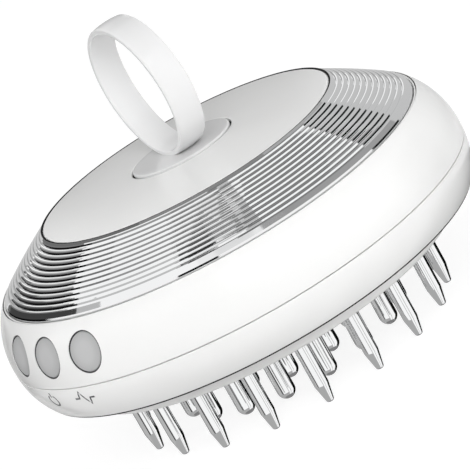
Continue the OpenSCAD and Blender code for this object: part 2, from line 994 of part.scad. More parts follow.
module eccentric_weight() {
    color(brass)
    translate([motor_x + weight_start, motor_y, motor_z])
        rotate([0, 90, 0])
            difference() {
                union() {
                    cylinder(r = weight_hub_r, h = weight_l);
                    intersection() {
                        cylinder(r = weight_r, h = weight_l);
                        translate([0, -weight_r - 1, -1])
                            cube([weight_r + 1, 2 * weight_r + 2, weight_l + 2]);
                    }
                }
                translate([0, 0, -1])
                    cylinder(r = shaft_r + screw_grip, h = weight_l + 2);
            }
}

module motor_clamp() {
    clamp_r = motor_d / 2 + motor_fit;
    color(off_white)
    difference() {
        union() {
            translate([clamp_x, motor_y, motor_z])
                rotate([0, 90, 0])
                    cylinder(r = clamp_r + clamp_wall, h = clamp_w);
            translate([clamp_x, motor_y - saddle_half, motor_z])
                cube([clamp_w, 2 * saddle_half, clamp_ear_t]);
        }
        translate([clamp_x - 1, motor_y, motor_z])
            rotate([0, 90, 0])
                cylinder(r = clamp_r, h = clamp_w + 2);
        translate([clamp_x - 1, motor_y - saddle_half - 1, motor_z - motor_d])
            cube([clamp_w + 2, 2 * saddle_half + 2, motor_d]);
        for (s = [-1, 1])
            translate([clamp_x + clamp_w / 2, motor_y + s * clamp_screw_y, motor_z - 1])
                cylinder(r = clamp_screw_r + 0.15, h = clamp_ear_t + 2);
    }
}

module charging_board() {
    color(board_green)
    difference() {
        translate([-charge_board[0] / 2, charge_y, charge_z])
            cube(charge_board);
        for (s = [-1, 1])
            translate([s * stake_x, charge_y + stake_inset, charge_z - 1])
                cylinder(r = stake_r + 0.05, h = charge_board[2] + 2);
    }
}

module charging_socket() {
    color(steel)
    translate([0, socket_face - socket_l, socket_z + socket_h / 2])
        rotate([-90, 0, 0]) {
            difference() {
                linear_extrude(socket_l)
                    rounded_slot(socket_w, socket_h, socket_round);
                translate([0, 0, 1.2])
                    linear_extrude(socket_l)
                        rounded_slot(socket_w - 2 * socket_wall, socket_h - 2 * socket_wall,
                            socket_round - socket_wall);
            }
            translate([-socket_tongue[0] / 2, -socket_tongue[1] / 2, 1])
                cube([socket_tongue[0], socket_tongue[1], socket_l - 2]);
        }
}

module housing_screws() {
    color(steel)
        for (a = post_angles)
            at_polar(post_circle_r, a)
                translate([0, 0, z_plate + recess_h]) {
                    translate([0, 0, -screw_head_h])
                        screw_head(screw_head_r, screw_head_h);
                    cylinder(r = screw_r, h = flange_top + screw_bite - z_plate - recess_h);
                }
}

// pan head with a cross recess in its lower face
module screw_head(r, h) {
    slot = 0.5;
    difference() {
        cylinder(r = r, h = h);
        for (a = [0, 90])
            rotate([0, 0, a])
                translate([-r * 0.65, -slot / 2, -1])
                    cube([r * 1.3, slot, 1 + h / 2]);
    }
}

module chassis_screws() {
    color(steel)
        for (a = stand_angles) {
            seat = a == 270 ? chassis_top + foot_plate_t : chassis_top;
            at_polar(standoff_circle_r, a)
                translate([0, 0, seat]) {
                    cylinder(r = chassis_head_r, h = chassis_head_h);
                    translate([0, 0, z_floor + 0.5 - seat])
                        cylinder(r = chassis_screw_r, h = seat - z_floor - 0.4);
                }
        }
}

module clamp_screws() {
    color(steel)
        for (s = [-1, 1])
            translate([clamp_x + clamp_w / 2, motor_y + s * clamp_screw_y, motor_z + clamp_ear_t]) {
                cylinder(r = clamp_head_r, h = clamp_head_h);
                translate([0, 0, 0.2 - clamp_bite - clamp_ear_t])
                    cylinder(r = clamp_screw_r, h = clamp_bite + clamp_ear_t);
            }
}

module lid_screws() {
    color(steel)
        for (a = lid_screw_angles)
            at_polar(lid_screw_circle_r, a)
                translate([0, 0, z_ledge - roof_t]) {
                    translate([0, 0, -lid_screw_head_h])
                        cylinder(r = lid_screw_head_r, h = lid_screw_head_h);
                    cylinder(r = lid_screw_r, h = roof_t + trim_t - 0.3);
                }
}

upper_shell();
lower_shell();
base_plate();
top_lid();
ribbed_trim_ring();
swivel_base();
finger_ring();
retaining_washer();
friction_washer();
swivel_screw();
power_button();
pulse_button();
level_button();
switch_bracket();
switch_flex();
tact_switches();
long_pins();
middle_round_pins();
inner_round_pins();
contact_springs();
main_board();
board_chips();
pulse_coil();
chassis();
battery_cell();
battery_strap();
motor_can();
motor_shaft();
eccentric_weight();
motor_clamp();
charging_board();
charging_socket();
housing_screws();
chassis_screws();
clamp_screws();
lid_screws();
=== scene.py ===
import bpy
import bmesh
import math
from mathutils import Matrix, Vector


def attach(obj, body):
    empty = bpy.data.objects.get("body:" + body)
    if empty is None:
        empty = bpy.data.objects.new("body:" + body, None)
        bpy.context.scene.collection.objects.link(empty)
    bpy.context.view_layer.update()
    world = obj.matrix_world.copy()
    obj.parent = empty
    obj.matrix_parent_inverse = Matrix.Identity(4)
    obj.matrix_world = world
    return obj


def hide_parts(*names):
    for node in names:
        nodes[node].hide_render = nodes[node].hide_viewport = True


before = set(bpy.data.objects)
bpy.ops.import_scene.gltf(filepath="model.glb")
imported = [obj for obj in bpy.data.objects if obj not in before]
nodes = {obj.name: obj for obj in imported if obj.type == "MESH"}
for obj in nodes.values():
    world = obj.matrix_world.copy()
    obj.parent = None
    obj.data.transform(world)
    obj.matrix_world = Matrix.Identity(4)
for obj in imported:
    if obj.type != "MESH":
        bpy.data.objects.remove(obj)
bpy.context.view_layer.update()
scene = bpy.context.scene
mm = 0.001
print("frame loaded:", len(nodes), "nodes")


# helpers for nodes and materials; depths of bumps are in millimetres
def newMaterial(name):
    material = bpy.data.materials.new(name)
    material.use_nodes = True
    return material, material.node_tree, material.node_tree.nodes["Principled BSDF"]


def addNode(tree, kind, settings=None, inputs=None):
    node = tree.nodes.new(kind)
    for key, value in (settings or {}).items():
        setattr(node, key, value)
    for key, value in (inputs or {}).items():
        node.inputs[key].default_value = value
    return node


def link(source, output, target, entry):
    source.id_data.links.new(source.outputs[output], target.inputs[entry])


def objectNoise(tree, scale, detail, stretch=(1, 1, 1)):
    coords = addNode(tree, "ShaderNodeTexCoord")
    mapping = addNode(tree, "ShaderNodeMapping", inputs={"Scale": stretch})
    noise = addNode(tree, "ShaderNodeTexNoise", inputs={"Scale": scale, "Detail": detail})
    link(coords, "Object", mapping, "Vector")
    link(mapping, "Vector", noise, "Vector")
    return noise


def varyRoughness(tree, shader, source, low, high):
    spread = addNode(tree, "ShaderNodeMapRange", inputs={"To Min": low, "To Max": high})
    link(source, "Fac", spread, "Value")
    link(spread, "Result", shader, "Roughness")


def varyColour(tree, shader, source, first, second):
    mix = addNode(tree, "ShaderNodeMix", {"data_type": "RGBA"})
    mix.inputs["A"].default_value = (*first, 1)
    mix.inputs["B"].default_value = (*second, 1)
    link(source, "Fac", mix, "Factor")
    link(mix, "Result", shader, "Base Color")


def addBump(tree, shader, source, strength, depth):
    bump = addNode(tree, "ShaderNodeBump", inputs={"Strength": strength, "Distance": depth * mm})
    link(source, "Fac", bump, "Height")
    link(bump, "Normal", shader, "Normal")


plasticLook = {"cloudScale": 45, "cloudDetail": 2, "skinDetail": 3, "skinStrength": 0.25}
metalLook = {"cloudScale": 120, "cloudDetail": 2, "lineDetail": 4, "lineStrength": 0.2, "dull": 0.96}


# a moulded plastic: slight colour drift, uneven gloss and a faint moulded skin
def mouldedPlastic(name, colour, drift, gloss, skin, depth, ior=1.5):
    material, tree, shader = newMaterial(name)
    shader.inputs["IOR"].default_value = ior
    clouds = objectNoise(tree, plasticLook["cloudScale"], plasticLook["cloudDetail"])
    grain = objectNoise(tree, skin, plasticLook["skinDetail"])
    darker = tuple(c * (1 - drift) for c in colour)
    varyColour(tree, shader, clouds, darker, colour)
    varyRoughness(tree, shader, clouds, *gloss)
    addBump(tree, shader, grain, plasticLook["skinStrength"], depth)
    return material


# a metal: fine lines that run along or across the piece
def finishedMetal(name, colour, gloss, stretch, scale, depth):
    material, tree, shader = newMaterial(name)
    shader.inputs["Metallic"].default_value = 1
    lines = objectNoise(tree, scale, metalLook["lineDetail"], stretch)
    clouds = objectNoise(tree, metalLook["cloudScale"], metalLook["cloudDetail"])
    dull = tuple(c * metalLook["dull"] for c in colour)
    varyColour(tree, shader, clouds, dull, colour)
    varyRoughness(tree, shader, lines, *gloss)
    addBump(tree, shader, lines, metalLook["lineStrength"], depth)
    return material


# gloss is the roughness from and to; the moulded skin has a scale and a depth in millimetres
plastics = {
    "shellPlastic": dict(colour=(0.9, 0.9, 0.893), drift=0.012, gloss=(0.16, 0.22), skin=900, depth=0.02),
    # painted shade: the finger ring's plastic is darker than the shell's to stand in for the shade on its
    # lower outer side
    "ringPlastic": dict(colour=(0.84, 0.84, 0.842), drift=0.01, gloss=(0.12, 0.18), skin=900, depth=0.01),
    # painted shade: the swivel's grey is lowered to stand in for the finger ring's shadow on the disc
    "swivelPlastic": dict(colour=(0.745, 0.745, 0.747), drift=0.01, gloss=(0.05, 0.1), skin=900, depth=0.01),
    "innerPlastic": dict(colour=(0.82, 0.82, 0.81), drift=0.03, gloss=(0.45, 0.6), skin=1500, depth=0.03),
    "darkPlastic": dict(colour=(0.03, 0.03, 0.032), drift=0.2, gloss=(0.4, 0.55), skin=1500, depth=0.03),
    # painted shade: black and grey rubber for the dark rings that stand in for the shadow in gaps
    "shadowSealBlack": dict(colour=(0.012, 0.012, 0.012), drift=0.2, gloss=(0.6, 0.7),
                       skin=1500, depth=0.01, ior=1.15),
    "shadowSealGrey": dict(colour=(0.075, 0.075, 0.077), drift=0.2, gloss=(0.6, 0.7),
                       skin=1500, depth=0.01, ior=1.15),
    "printInk": dict(colour=(0.1, 0.1, 0.105), drift=0.08, gloss=(0.45, 0.55), skin=2500, depth=0.01),
    "cellWrap": dict(colour=(0.08, 0.18, 0.42), drift=0.12, gloss=(0.2, 0.3), skin=300, depth=0.05),
    "flexFilm": dict(colour=(0.62, 0.3, 0.06), drift=0.1, gloss=(0.2, 0.3), skin=800, depth=0.01),
}
# stretch says which way the fine lines run; they have a scale and a depth too
metals = {
    "trimChrome": dict(colour=(0.9, 0.905, 0.91), gloss=(0.03, 0.07), stretch=(1, 1, 6),
                       scale=700, depth=0.002),
    "pinChrome": dict(colour=(0.92, 0.925, 0.93), gloss=(0.03, 0.06), stretch=(1, 1, 0.05),
                      scale=2500, depth=0.002),
    "turnedSteel": dict(colour=(0.6, 0.6, 0.61), gloss=(0.25, 0.4), stretch=(1, 1, 8), scale=900, depth=0.02),
    "springBrass": dict(colour=(0.78, 0.6, 0.3), gloss=(0.2, 0.35), stretch=(1, 1, 8), scale=900, depth=0.02),
}
materials = {name: mouldedPlastic(name, **look) for name, look in plastics.items()}
materials.update({name: finishedMetal(name, **look) for name, look in metals.items()})

boardLook = {
    "roughness": 0.35,
    "trackStrength": 0.2,
    "trackDepth": 0.03,
    "rowOffset": 0.3,
    "tracks": {"Scale": 160, "Mortar Size": 0.08, "Brick Width": 1.3, "Row Height": 0.4,
               "Color1": (0.02, 0.17, 0.08, 1), "Color2": (0.02, 0.2, 0.1, 1),
               "Mortar": (0.03, 0.28, 0.13, 1)},
}


# green solder mask with a faint pattern of tracks under it
def makeBoardMask():
    material, tree, shader = newMaterial("boardMask")
    shader.inputs["Roughness"].default_value = boardLook["roughness"]
    coords = addNode(tree, "ShaderNodeTexCoord")
    tracks = addNode(tree, "ShaderNodeTexBrick", {"offset": boardLook["rowOffset"]}, boardLook["tracks"])
    link(coords, "Object", tracks, "Vector")
    link(tracks, "Color", shader, "Base Color")
    addBump(tree, shader, tracks, boardLook["trackStrength"], boardLook["trackDepth"])
    return material


# the cap's colour, and the share of it that its rim keeps under the painted shade
capLook = {
    "colour": (0.52, 0.522, 0.525), "paintedRimShare": 0.8, "gloss": (0.38, 0.5), "ior": 1.45,
    "grainScale": 5000, "grainDetail": 2, "grainStrength": 0.15, "grainDepth": 0.02,
}


# frosted button: lighter in the middle, and a little darker towards its rim by painted shade
def makeFrostedCap():
    material, tree, shader = newMaterial("frostedCap")
    shader.inputs["IOR"].default_value = capLook["ior"]
    paintedShadeNode = addNode(tree, "ShaderNodeAttribute", {"attribute_name": "paintedRimShade"})
    grain = objectNoise(tree, capLook["grainScale"], capLook["grainDetail"])
    darker = tuple(c * capLook["paintedRimShare"] for c in capLook["colour"])
    varyColour(tree, shader, paintedShadeNode, capLook["colour"], darker)
    varyRoughness(tree, shader, grain, *capLook["gloss"])
    addBump(tree, shader, grain, capLook["grainStrength"], capLook["grainDepth"])
    return material


materials["boardMask"] = makeBoardMask()
materials["frostedCap"] = makeFrostedCap()
print("materials made:", len(materials))


# helpers for objects and meshes; profiles are in millimetres, as (radius, height)
sharpAngle = 32     # degrees between two faces, from which their edge stays sharp
sliver = 0.000001     # metres; what a cut leaves below this size is dissolved


def arcPoints(centre, radius, start, end, steps):
    turn = [math.radians(start + (end - start) * k / steps) for k in range(steps + 1)]
    return [(centre[0] + radius * math.cos(t), centre[1] + radius * math.sin(t)) for t in turn]


def circleTurns(steps):
    return [2 * math.pi * k / steps for k in range(steps)]


def latheMesh(profile, steps, closed=True):
    mesh = bmesh.new()
    turns = circleTurns(steps)
    rings = []
    for r, z in profile:
        around = turns if r else [0]     # one point on the axis
        rings.append([mesh.verts.new((r * mm * math.cos(t), r * mm * math.sin(t), z * mm)) for t in around])
    pairs = list(zip(rings, rings[1:] + rings[:1])) if closed else list(zip(rings, rings[1:]))
    for low, high in pairs:
        for k in range(steps):
            after = (k + 1) % steps
            corners = (low[k % len(low)], low[after % len(low)], high[after % len(high)], high[k % len(high)])
            mesh.faces.new(dict.fromkeys(corners))
    bmesh.ops.recalc_face_normals(mesh, faces=mesh.faces)
    if mesh.calc_volume(signed=True) < 0:
        bmesh.ops.reverse_faces(mesh, faces=mesh.faces)     # a shell can come out inside out
    return mesh


def markSharp(piece, sharp):
    mesh = bmesh.new()
    mesh.from_mesh(piece.data)
    for edge in mesh.edges:
        edge.smooth = len(edge.link_faces) == 2 and edge.calc_face_angle() < math.radians(sharp)
    mesh.to_mesh(piece.data)
    mesh.free()


def addObject(name, data):
    added = bpy.data.objects.new(name, data)
    scene.collection.objects.link(added)
    return added


def makePiece(name, mesh, material, sharp=sharpAngle):
    for face in mesh.faces:
        face.smooth = True
    data = bpy.data.meshes.new(name)
    mesh.to_mesh(data)
    mesh.free()
    piece = addObject(name, data)
    data.materials.append(material)
    markSharp(piece, sharp)
    return piece


# takes the shape of a second mesh out of a piece
def cutWith(piece, mesh):
    data = bpy.data.meshes.new("cutter")
    mesh.to_mesh(data)
    mesh.free()
    cutter = addObject("cutter", data)
    boolean = piece.modifiers.new("cut", "BOOLEAN")
    boolean.operation = "DIFFERENCE"
    boolean.solver = "EXACT"
    boolean.object = cutter
    bpy.context.view_layer.update()
    evaluated = piece.evaluated_get(bpy.context.evaluated_depsgraph_get())
    cut = bpy.data.meshes.new_from_object(evaluated)
    piece.modifiers.remove(boolean)
    old = piece.data
    piece.data = cut
    cut.name = piece.name
    bpy.data.meshes.remove(old)
    bpy.data.objects.remove(cutter)
    bpy.data.meshes.remove(data)
    mesh = bmesh.new()
    mesh.from_mesh(piece.data)
    bmesh.ops.dissolve_degenerate(mesh, dist=sliver, edges=mesh.edges)
    for face in mesh.faces:
        face.smooth = True
    mesh.to_mesh(piece.data)
    mesh.free()
    markSharp(piece, sharpAngle)


def addCylinder(mesh, matrix, radius, low, high, segments):
    middle = Matrix.Translation((0, 0, (low + high) / 2 * mm))
    bmesh.ops.create_cone(mesh, cap_ends=True, segments=segments, radius1=radius * mm, radius2=radius * mm,
                          depth=(high - low) * mm, matrix=matrix @ middle)


# a frame from its axes and its origin
def frameMatrix(across, upward, outward, origin):
    matrix = Matrix((across, upward, outward)).transposed().to_4x4()
    matrix.translation = origin
    return matrix


def polar(radius, degrees):
    a = math.radians(degrees)
    return Vector((radius * math.cos(a), radius * math.sin(a), 0)) * mm


# where things are on the housing, in millimetres
housing = {
    "bodyRadius": 46.0,
    "seamZ": 24.2,
    "seamGap": 0.2,
    "bellyZ": 25.3,
    "swellRadius": 15.0,
    "tuckRadius": 13.0,
    "rimZ": 16.7,
    "edgeZ": 35.5,
    "lidZ": 43.9,
    "wall": 2.0,
    "steps": 480,
}
trim = {
    "outerRadius": 41.548,
    "innerRadius": 29.498,
    "thickness": 1.6,
    "edgeTilt": 64.0,      # degrees from level, of the narrow facet at the outer edge
    "outerTilt": 43.0,     # of the plain outer band
    "landTilt": (36.5, 30.5),     # of the lands, from the outermost to the innermost
    "landRoof": 4.0,       # each land is a very flat roof
    "innerTilt": 52.0,     # of the plain inner band
    "grooves": 12,
    "innerBand": 0.5,
    "outerBand": 1.06,
    "edgeBand": 0.34,
    "grooveShare": 0.38,
    "wallAngle": 40.0,     # of the groove's walls from its lands
    "bevelShare": 0.2,     # a flatter bevel along the inner edge of each land
    "bevelAngle": 18.0,
    "edgeRound": 0.02,
    "steps": 600,
    "sharp": 3,            # degrees between two strips, from which their edge stays sharp
}
seat = {"fit": 0.05, "roof": 2.0, "roofReach": 1.03, "ledgeWidth": 4.5}     # what the trim ring lies on
swellCentre = (housing["bodyRadius"] - housing["swellRadius"], housing["bellyZ"])
tuckCentre = (housing["bodyRadius"] - housing["tuckRadius"], housing["seamZ"])
ledgeZ = housing["lidZ"] - trim["thickness"]
trimSlope = (housing["lidZ"] - housing["edgeZ"]) / (trim["outerRadius"] - trim["innerRadius"])


def trimHeight(radius):
    return housing["edgeZ"] + (trim["outerRadius"] - radius) * trimSlope


# the frame of a button: its own Z points out of the housing
buttons = {
    "names": ("power_button", "pulse_button", "level_button"),
    "middleAt": -90,       # degrees, of the middle button
    "step": 13.6,          # degrees from one button to the next
    "rise": 5.9,
    "belly": 1.1,
    "capRadius": 3.6,
    "boreRadius": 3.82,
    "bore": (-1.5, 3),     # along a button's axis: through the wall, and the room behind it
    "pocket": (-9, -1.4),
    "segments": 96,
    "faceRings": (0.6, 1.2, 1.8, 2.4, 2.9),
    "rimTurns": (18, 36, 54, 72, 90),
    "paintedRimShade": 0.45,      # share of the radius, from which a cap's painted shade begins
    "sink": 0.05,
    "edgeRound": 0.3,
    "flangeRadius": 4.9,
    "flangeTop": 2.7,
    "flangeLow": 3.5,
    "stemRadius": 1.6,
    "stemLow": 6.5,
    # painted shade: the grey ring in each button's gap
    "shadowSealSink": 0.1,
    "shadowSealHeight": 0.3,
    "shadowSealFit": 0.01,
    "depthRounds": 12,     # after so many the depth below the swell has settled
    "sharp": 40,
}
buttonTilt = math.asin((buttons["rise"] - buttons["belly"]) / housing["swellRadius"])


def buttonFrame(index):
    azimuth = math.radians(buttons["middleAt"] + (index - 1) * buttons["step"])
    outward = Vector((math.cos(buttonTilt) * math.cos(azimuth), math.cos(buttonTilt) * math.sin(azimuth),
                      math.sin(buttonTilt)))
    across = Vector((-math.sin(azimuth), math.cos(azimuth), 0))
    upward = outward.cross(across)
    arcX, arcZ = swellCentre
    arcCentre = Vector((arcX * math.cos(azimuth), arcX * math.sin(azimuth), arcZ))
    origin = arcCentre * mm + outward * housing["swellRadius"] * mm
    return frameMatrix(across, upward, outward, origin)


# lip around the trim ring: a bead, the gap beside it and the shell outside
lip = {
    "beadRadius": 0.17, "beadX": 41.86, "beadZ": 35.1, "gapX": 42.09, "gapZ": 34.95, "gapRound": 0.05,
    "shellX": 42.2, "shellZ": 35.17, "seatZ": 34.7,
}
upper = {
    "corner": 0.12,        # rounding at the seam
    "swellEnd": 41.6,      # degrees up the swell, to the lip
    "innerEnd": 26.5,      # and inside, to the roof
    "tongueIn": 3.45,      # from the housing's outside
    "tongueOut": 2.15,
    "tongueRoot": 1,       # above the seam
    "tongueDrop": 1.5,     # below it
    "swellSteps": 44,
    "innerSteps": 12,
    "beadSteps": 8,
    "cornerSteps": 4,
}


# upper shell: swelling side, lip around the trim ring, roof and ledge under it
def makeUpperShell():
    b, u = housing, upper
    corner = (b["bodyRadius"] - u["corner"], b["seamZ"] + u["corner"])
    outer = arcPoints(corner, u["corner"], -90, 0, u["cornerSteps"])
    outer += arcPoints(swellCentre, b["swellRadius"], 0, u["swellEnd"], u["swellSteps"])
    outer += [(lip["shellX"], lip["shellZ"]), (lip["shellX"], lip["gapZ"]),
              (lip["gapX"] - lip["gapRound"], lip["gapZ"])]
    outer += arcPoints((lip["beadX"], lip["beadZ"]), lip["beadRadius"], 0, 180, u["beadSteps"])
    seatR = trim["outerRadius"] + seat["fit"]
    outer += [(lip["beadX"] - lip["beadRadius"], lip["seatZ"]), (seatR, lip["seatZ"])]
    outer += [(seatR, trimHeight(seatR) - trim["thickness"]), (trim["innerRadius"], ledgeZ)]
    ledgeR = trim["innerRadius"] - seat["ledgeWidth"]
    outer += [(ledgeR, ledgeZ), (ledgeR, ledgeZ - seat["roof"]), (trim["innerRadius"], ledgeZ - seat["roof"])]
    roofR = trim["outerRadius"] + seat["roofReach"]
    outer += [(roofR, trimHeight(roofR) - trim["thickness"] - seat["roof"])]
    outer += arcPoints(swellCentre, b["swellRadius"] - b["wall"], u["innerEnd"], 0, u["innerSteps"])
    tongueIn, tongueOut = b["bodyRadius"] - u["tongueIn"], b["bodyRadius"] - u["tongueOut"]
    rootZ, tipZ = b["seamZ"] + u["tongueRoot"], b["seamZ"] - u["tongueDrop"]
    outer += [(b["bodyRadius"] - b["wall"], rootZ), (tongueIn, rootZ), (tongueIn, tipZ), (tongueOut, tipZ),
              (tongueOut, b["seamZ"])]
    shell = makePiece("upperShell", latheMesh(outer, b["steps"]), materials["shellPlastic"])
    for low, high in (buttons["bore"], buttons["pocket"]):
        holes = bmesh.new()
        for index in range(len(buttons["names"])):
            addCylinder(holes, buttonFrame(index), buttons["boreRadius"], low, high, buttons["segments"])
        cutWith(shell, holes)
    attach(shell, "housing")
    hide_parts("upper_shell")


makeUpperShell()


# opening for the charging socket
socket = {
    "width": 9.5, "height": 3.7, "corner": 1.55, "z": 21.5, "cutFrom": 39.5, "cutDepth": 9, "cornerSteps": 8,
}
lower = {
    "corner": 0.12,        # rounding at the seam
    "cornerDrop": 0.13,    # from there down to where the tuck's arc begins
    "rimRound": 0.2,
    "rimInset": 0.28,
    "rimTurn": 0.9,        # degrees of the tuck that the rim's rounding takes
    "rimStart": -30,
    "flangeIn": 32.5,
    "flangeLow": 16.9,
    "flangeHigh": 18.4,
    "flangeLean": 0.15,
    "flangeRoot": 1,
    "innerFrom": -31,      # degrees of the tuck's arc, inside
    "innerTo": -1.3,
    "tuckSteps": 30,
    "innerSteps": 12,
    "rimSteps": 5,
    "cornerSteps": 4,
}


# lower shell: tucked side with the opening for the charging socket
def makeLowerShell():
    b, w = housing, lower
    high = b["seamZ"] - b["seamGap"]
    innerRadius = b["tuckRadius"] - b["wall"]
    start = math.degrees(math.asin((b["seamGap"] + w["cornerDrop"]) / b["tuckRadius"]))
    turn = math.degrees(math.asin((b["seamZ"] - b["rimZ"]) / b["tuckRadius"]))
    inner = math.degrees(math.asin((b["seamZ"] - b["rimZ"]) / innerRadius))
    corner = (b["bodyRadius"] - w["corner"], high - w["corner"])
    profile = arcPoints(corner, w["corner"], 90, 0, w["cornerSteps"])
    profile += arcPoints(tuckCentre, b["tuckRadius"], -start, -turn + w["rimTurn"], w["tuckSteps"])
    rimX = tuckCentre[0] + b["tuckRadius"] * math.cos(math.radians(turn))
    rimSpot = (rimX - w["rimInset"], b["rimZ"] + w["rimRound"])
    profile += arcPoints(rimSpot, w["rimRound"], w["rimStart"], -90, w["rimSteps"])
    innerX = tuckCentre[0] + innerRadius * math.cos(math.radians(inner))
    profile += [(innerX, b["rimZ"]), (innerX + w["flangeLean"], w["flangeLow"])]
    profile += [(w["flangeIn"], w["flangeLow"]), (w["flangeIn"], w["flangeHigh"])]
    profile += [(innerX + w["flangeRoot"], w["flangeHigh"])]
    profile += arcPoints(tuckCentre, innerRadius, w["innerFrom"], w["innerTo"], w["innerSteps"])
    profile += [(b["bodyRadius"] - b["wall"], high)]
    shell = makePiece("lowerShell", latheMesh(profile, b["steps"]), materials["shellPlastic"])
    half, tall, corner = socket["width"] / 2, socket["height"] / 2, socket["corner"]
    outline = []
    for sx, sz, start in ((1, 1, 0), (-1, 1, 90), (-1, -1, 180), (1, -1, 270)):
        spot = (sx * (half - corner), sz * (tall - corner))
        outline += arcPoints(spot, corner, start, start + 90, socket["cornerSteps"])
    slot = bmesh.new()
    face = slot.faces.new([slot.verts.new((x * mm, socket["cutFrom"] * mm, (z + socket["z"]) * mm))
                           for x, z in outline])
    made = bmesh.ops.extrude_face_region(slot, geom=[face])
    far = [v for v in made["geom"] if isinstance(v, bmesh.types.BMVert)]
    bmesh.ops.translate(slot, verts=far, vec=(0, socket["cutDepth"] * mm, 0))
    bmesh.ops.recalc_face_normals(slot, faces=slot.faces)
    cutWith(shell, slot)
    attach(shell, "housing")
    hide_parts("lower_shell")


makeLowerShell()
print("shells made")


pins = {
    "longCount": 18, "longCircle": 30.5, "longRadius": 1.35, "longHead": 0.65,
    "taper": 3.5, "taperRound": (0.08, 0.12), "shoulder": 0.03, "bluntRadius": 0.75, "tipRound": 0.45,
    "midCount": 16, "midCircle": 21.5, "innerCount": 8, "innerCircle": 11.5,
    "roundRadius": 1.7, "roundRise": 1.1, "roundHead": 0.5,
    "floorZ": 15.3, "headHeight": 1.0, "segments": 64,
    "firstAt": -90,        # degrees, of the first pin of each circle
    "tipTo": -12, "tipSteps": 14, "noseSteps": 20, "longSharp": 9,
}
plate = {
    "radius": 38.2, "flare": 1.2, "wall": 1.5, "z": 13.3, "floorZ": 15.3, "topZ": 16.9,
    "edge": 0.6, "edgeTo": -15, "edgeSteps": 7, "rimRound": 0.1, "rimInset": 0.25, "flareSteps": 10,
    "steps": 320, "pinFit": 0.05, "pinHole": (12, 17.5), "pinSegments": 32,
    "screwAt": (45, 135, 225, 315), "screwCircle": 35.2, "screwRadius": 2.4, "screwHole": (12, 15.1),
    "screwSegments": 40,
}


# base plate with its pin holes and screw recesses
def makeBasePlate():
    r = plate["radius"]
    low, high = plate["z"] + plate["edge"], plate["topZ"] - plate["rimRound"]
    profile = [(0, plate["z"])]
    profile += arcPoints((r - plate["edge"], low), plate["edge"], -90, plate["edgeTo"], plate["edgeSteps"])
    flare = plate["flare"] - plate["rimRound"]
    for t in (k / plate["flareSteps"] for k in range(1, plate["flareSteps"] + 1)):
        profile.append((r + flare * t ** 2, low + (high - low) * t))     # a hollow flare
    profile += [(r + plate["flare"] - plate["rimInset"], plate["topZ"])]
    profile += [(r + plate["flare"] - plate["wall"], plate["topZ"]), (r - plate["wall"], plate["floorZ"]),
                (0, plate["floorZ"])]
    base = makePiece("basePlate", latheMesh(profile, plate["steps"], closed=False), materials["shellPlastic"])
    holes = bmesh.new()
    for count, circle, radius in ((pins["longCount"], pins["longCircle"], pins["longRadius"]),
                                  (pins["midCount"], pins["midCircle"], pins["roundRadius"]),
                                  (pins["innerCount"], pins["innerCircle"], pins["roundRadius"])):
        for k in range(count):
            spot = Matrix.Translation(polar(circle, pins["firstAt"] + 360 * k / count))
            addCylinder(holes, spot, radius + plate["pinFit"], *plate["pinHole"], plate["pinSegments"])
    for azimuth in plate["screwAt"]:
        spot = Matrix.Translation(polar(plate["screwCircle"], azimuth))
        addCylinder(holes, spot, plate["screwRadius"], *plate["screwHole"], plate["screwSegments"])
    cutWith(base, holes)
    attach(base, "housing")
    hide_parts("base_plate")


makeBasePlate()


# one pin's mesh, set count times around a circle
def placeCopies(mesh, count, circle):
    joined = bmesh.new()
    single = bpy.data.meshes.new("single")
    mesh.to_mesh(single)
    mesh.free()
    for k in range(count):
        start = len(joined.verts)
        joined.from_mesh(single)
        joined.verts.ensure_lookup_table()
        spot = polar(circle, pins["firstAt"] + 360 * k / count)
        bmesh.ops.translate(joined, verts=joined.verts[start:], vec=spot)
    bpy.data.meshes.remove(single)
    return joined


# shank of a pin above its tip, and its head inside the housing
def shankProfile(radius, head):
    low, high = pins["floorZ"], pins["floorZ"] + pins["headHeight"]
    return [(radius, low), (radius + head, low), (radius + head, high), (0, high)]


# long pins: drawn shank, straight taper and a blunt rounded end
def makeLongPins():
    p = pins
    tip = (p["bluntRadius"] - p["tipRound"], p["tipRound"])
    profile = [(0, 0)] + arcPoints(tip, p["tipRound"], -90, p["tipTo"], p["tipSteps"])
    profile += [(p["longRadius"] - p["shoulder"], p["taper"] - p["taperRound"][0]),
                (p["longRadius"], p["taper"] + p["taperRound"][1])]
    profile += shankProfile(p["longRadius"], p["longHead"])
    single = latheMesh(profile, p["segments"], closed=False)
    copies = placeCopies(single, p["longCount"], p["longCircle"])
    piece = makePiece("longPins", copies, materials["pinChrome"], p["longSharp"])
    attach(piece, "housing")
    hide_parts("long_pins")


# round-nosed pins of the middle and the inner circle
def makeRoundPins(name, node, count, circle):
    p = pins
    profile = arcPoints((0, p["roundRise"] + p["roundRadius"]), p["roundRadius"], -90, 0, p["noseSteps"])
    profile[0] = (0, p["roundRise"])
    profile += shankProfile(p["roundRadius"], p["roundHead"])
    single = latheMesh(profile, p["segments"], closed=False)
    piece = makePiece(name, placeCopies(single, count, circle), materials["pinChrome"])
    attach(piece, "housing")
    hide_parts(node)


makeLongPins()
makeRoundPins("middlePins", "middle_round_pins", pins["midCount"], pins["midCircle"])
makeRoundPins("innerPins", "inner_round_pins", pins["innerCount"], pins["innerCircle"])
print("pins made")


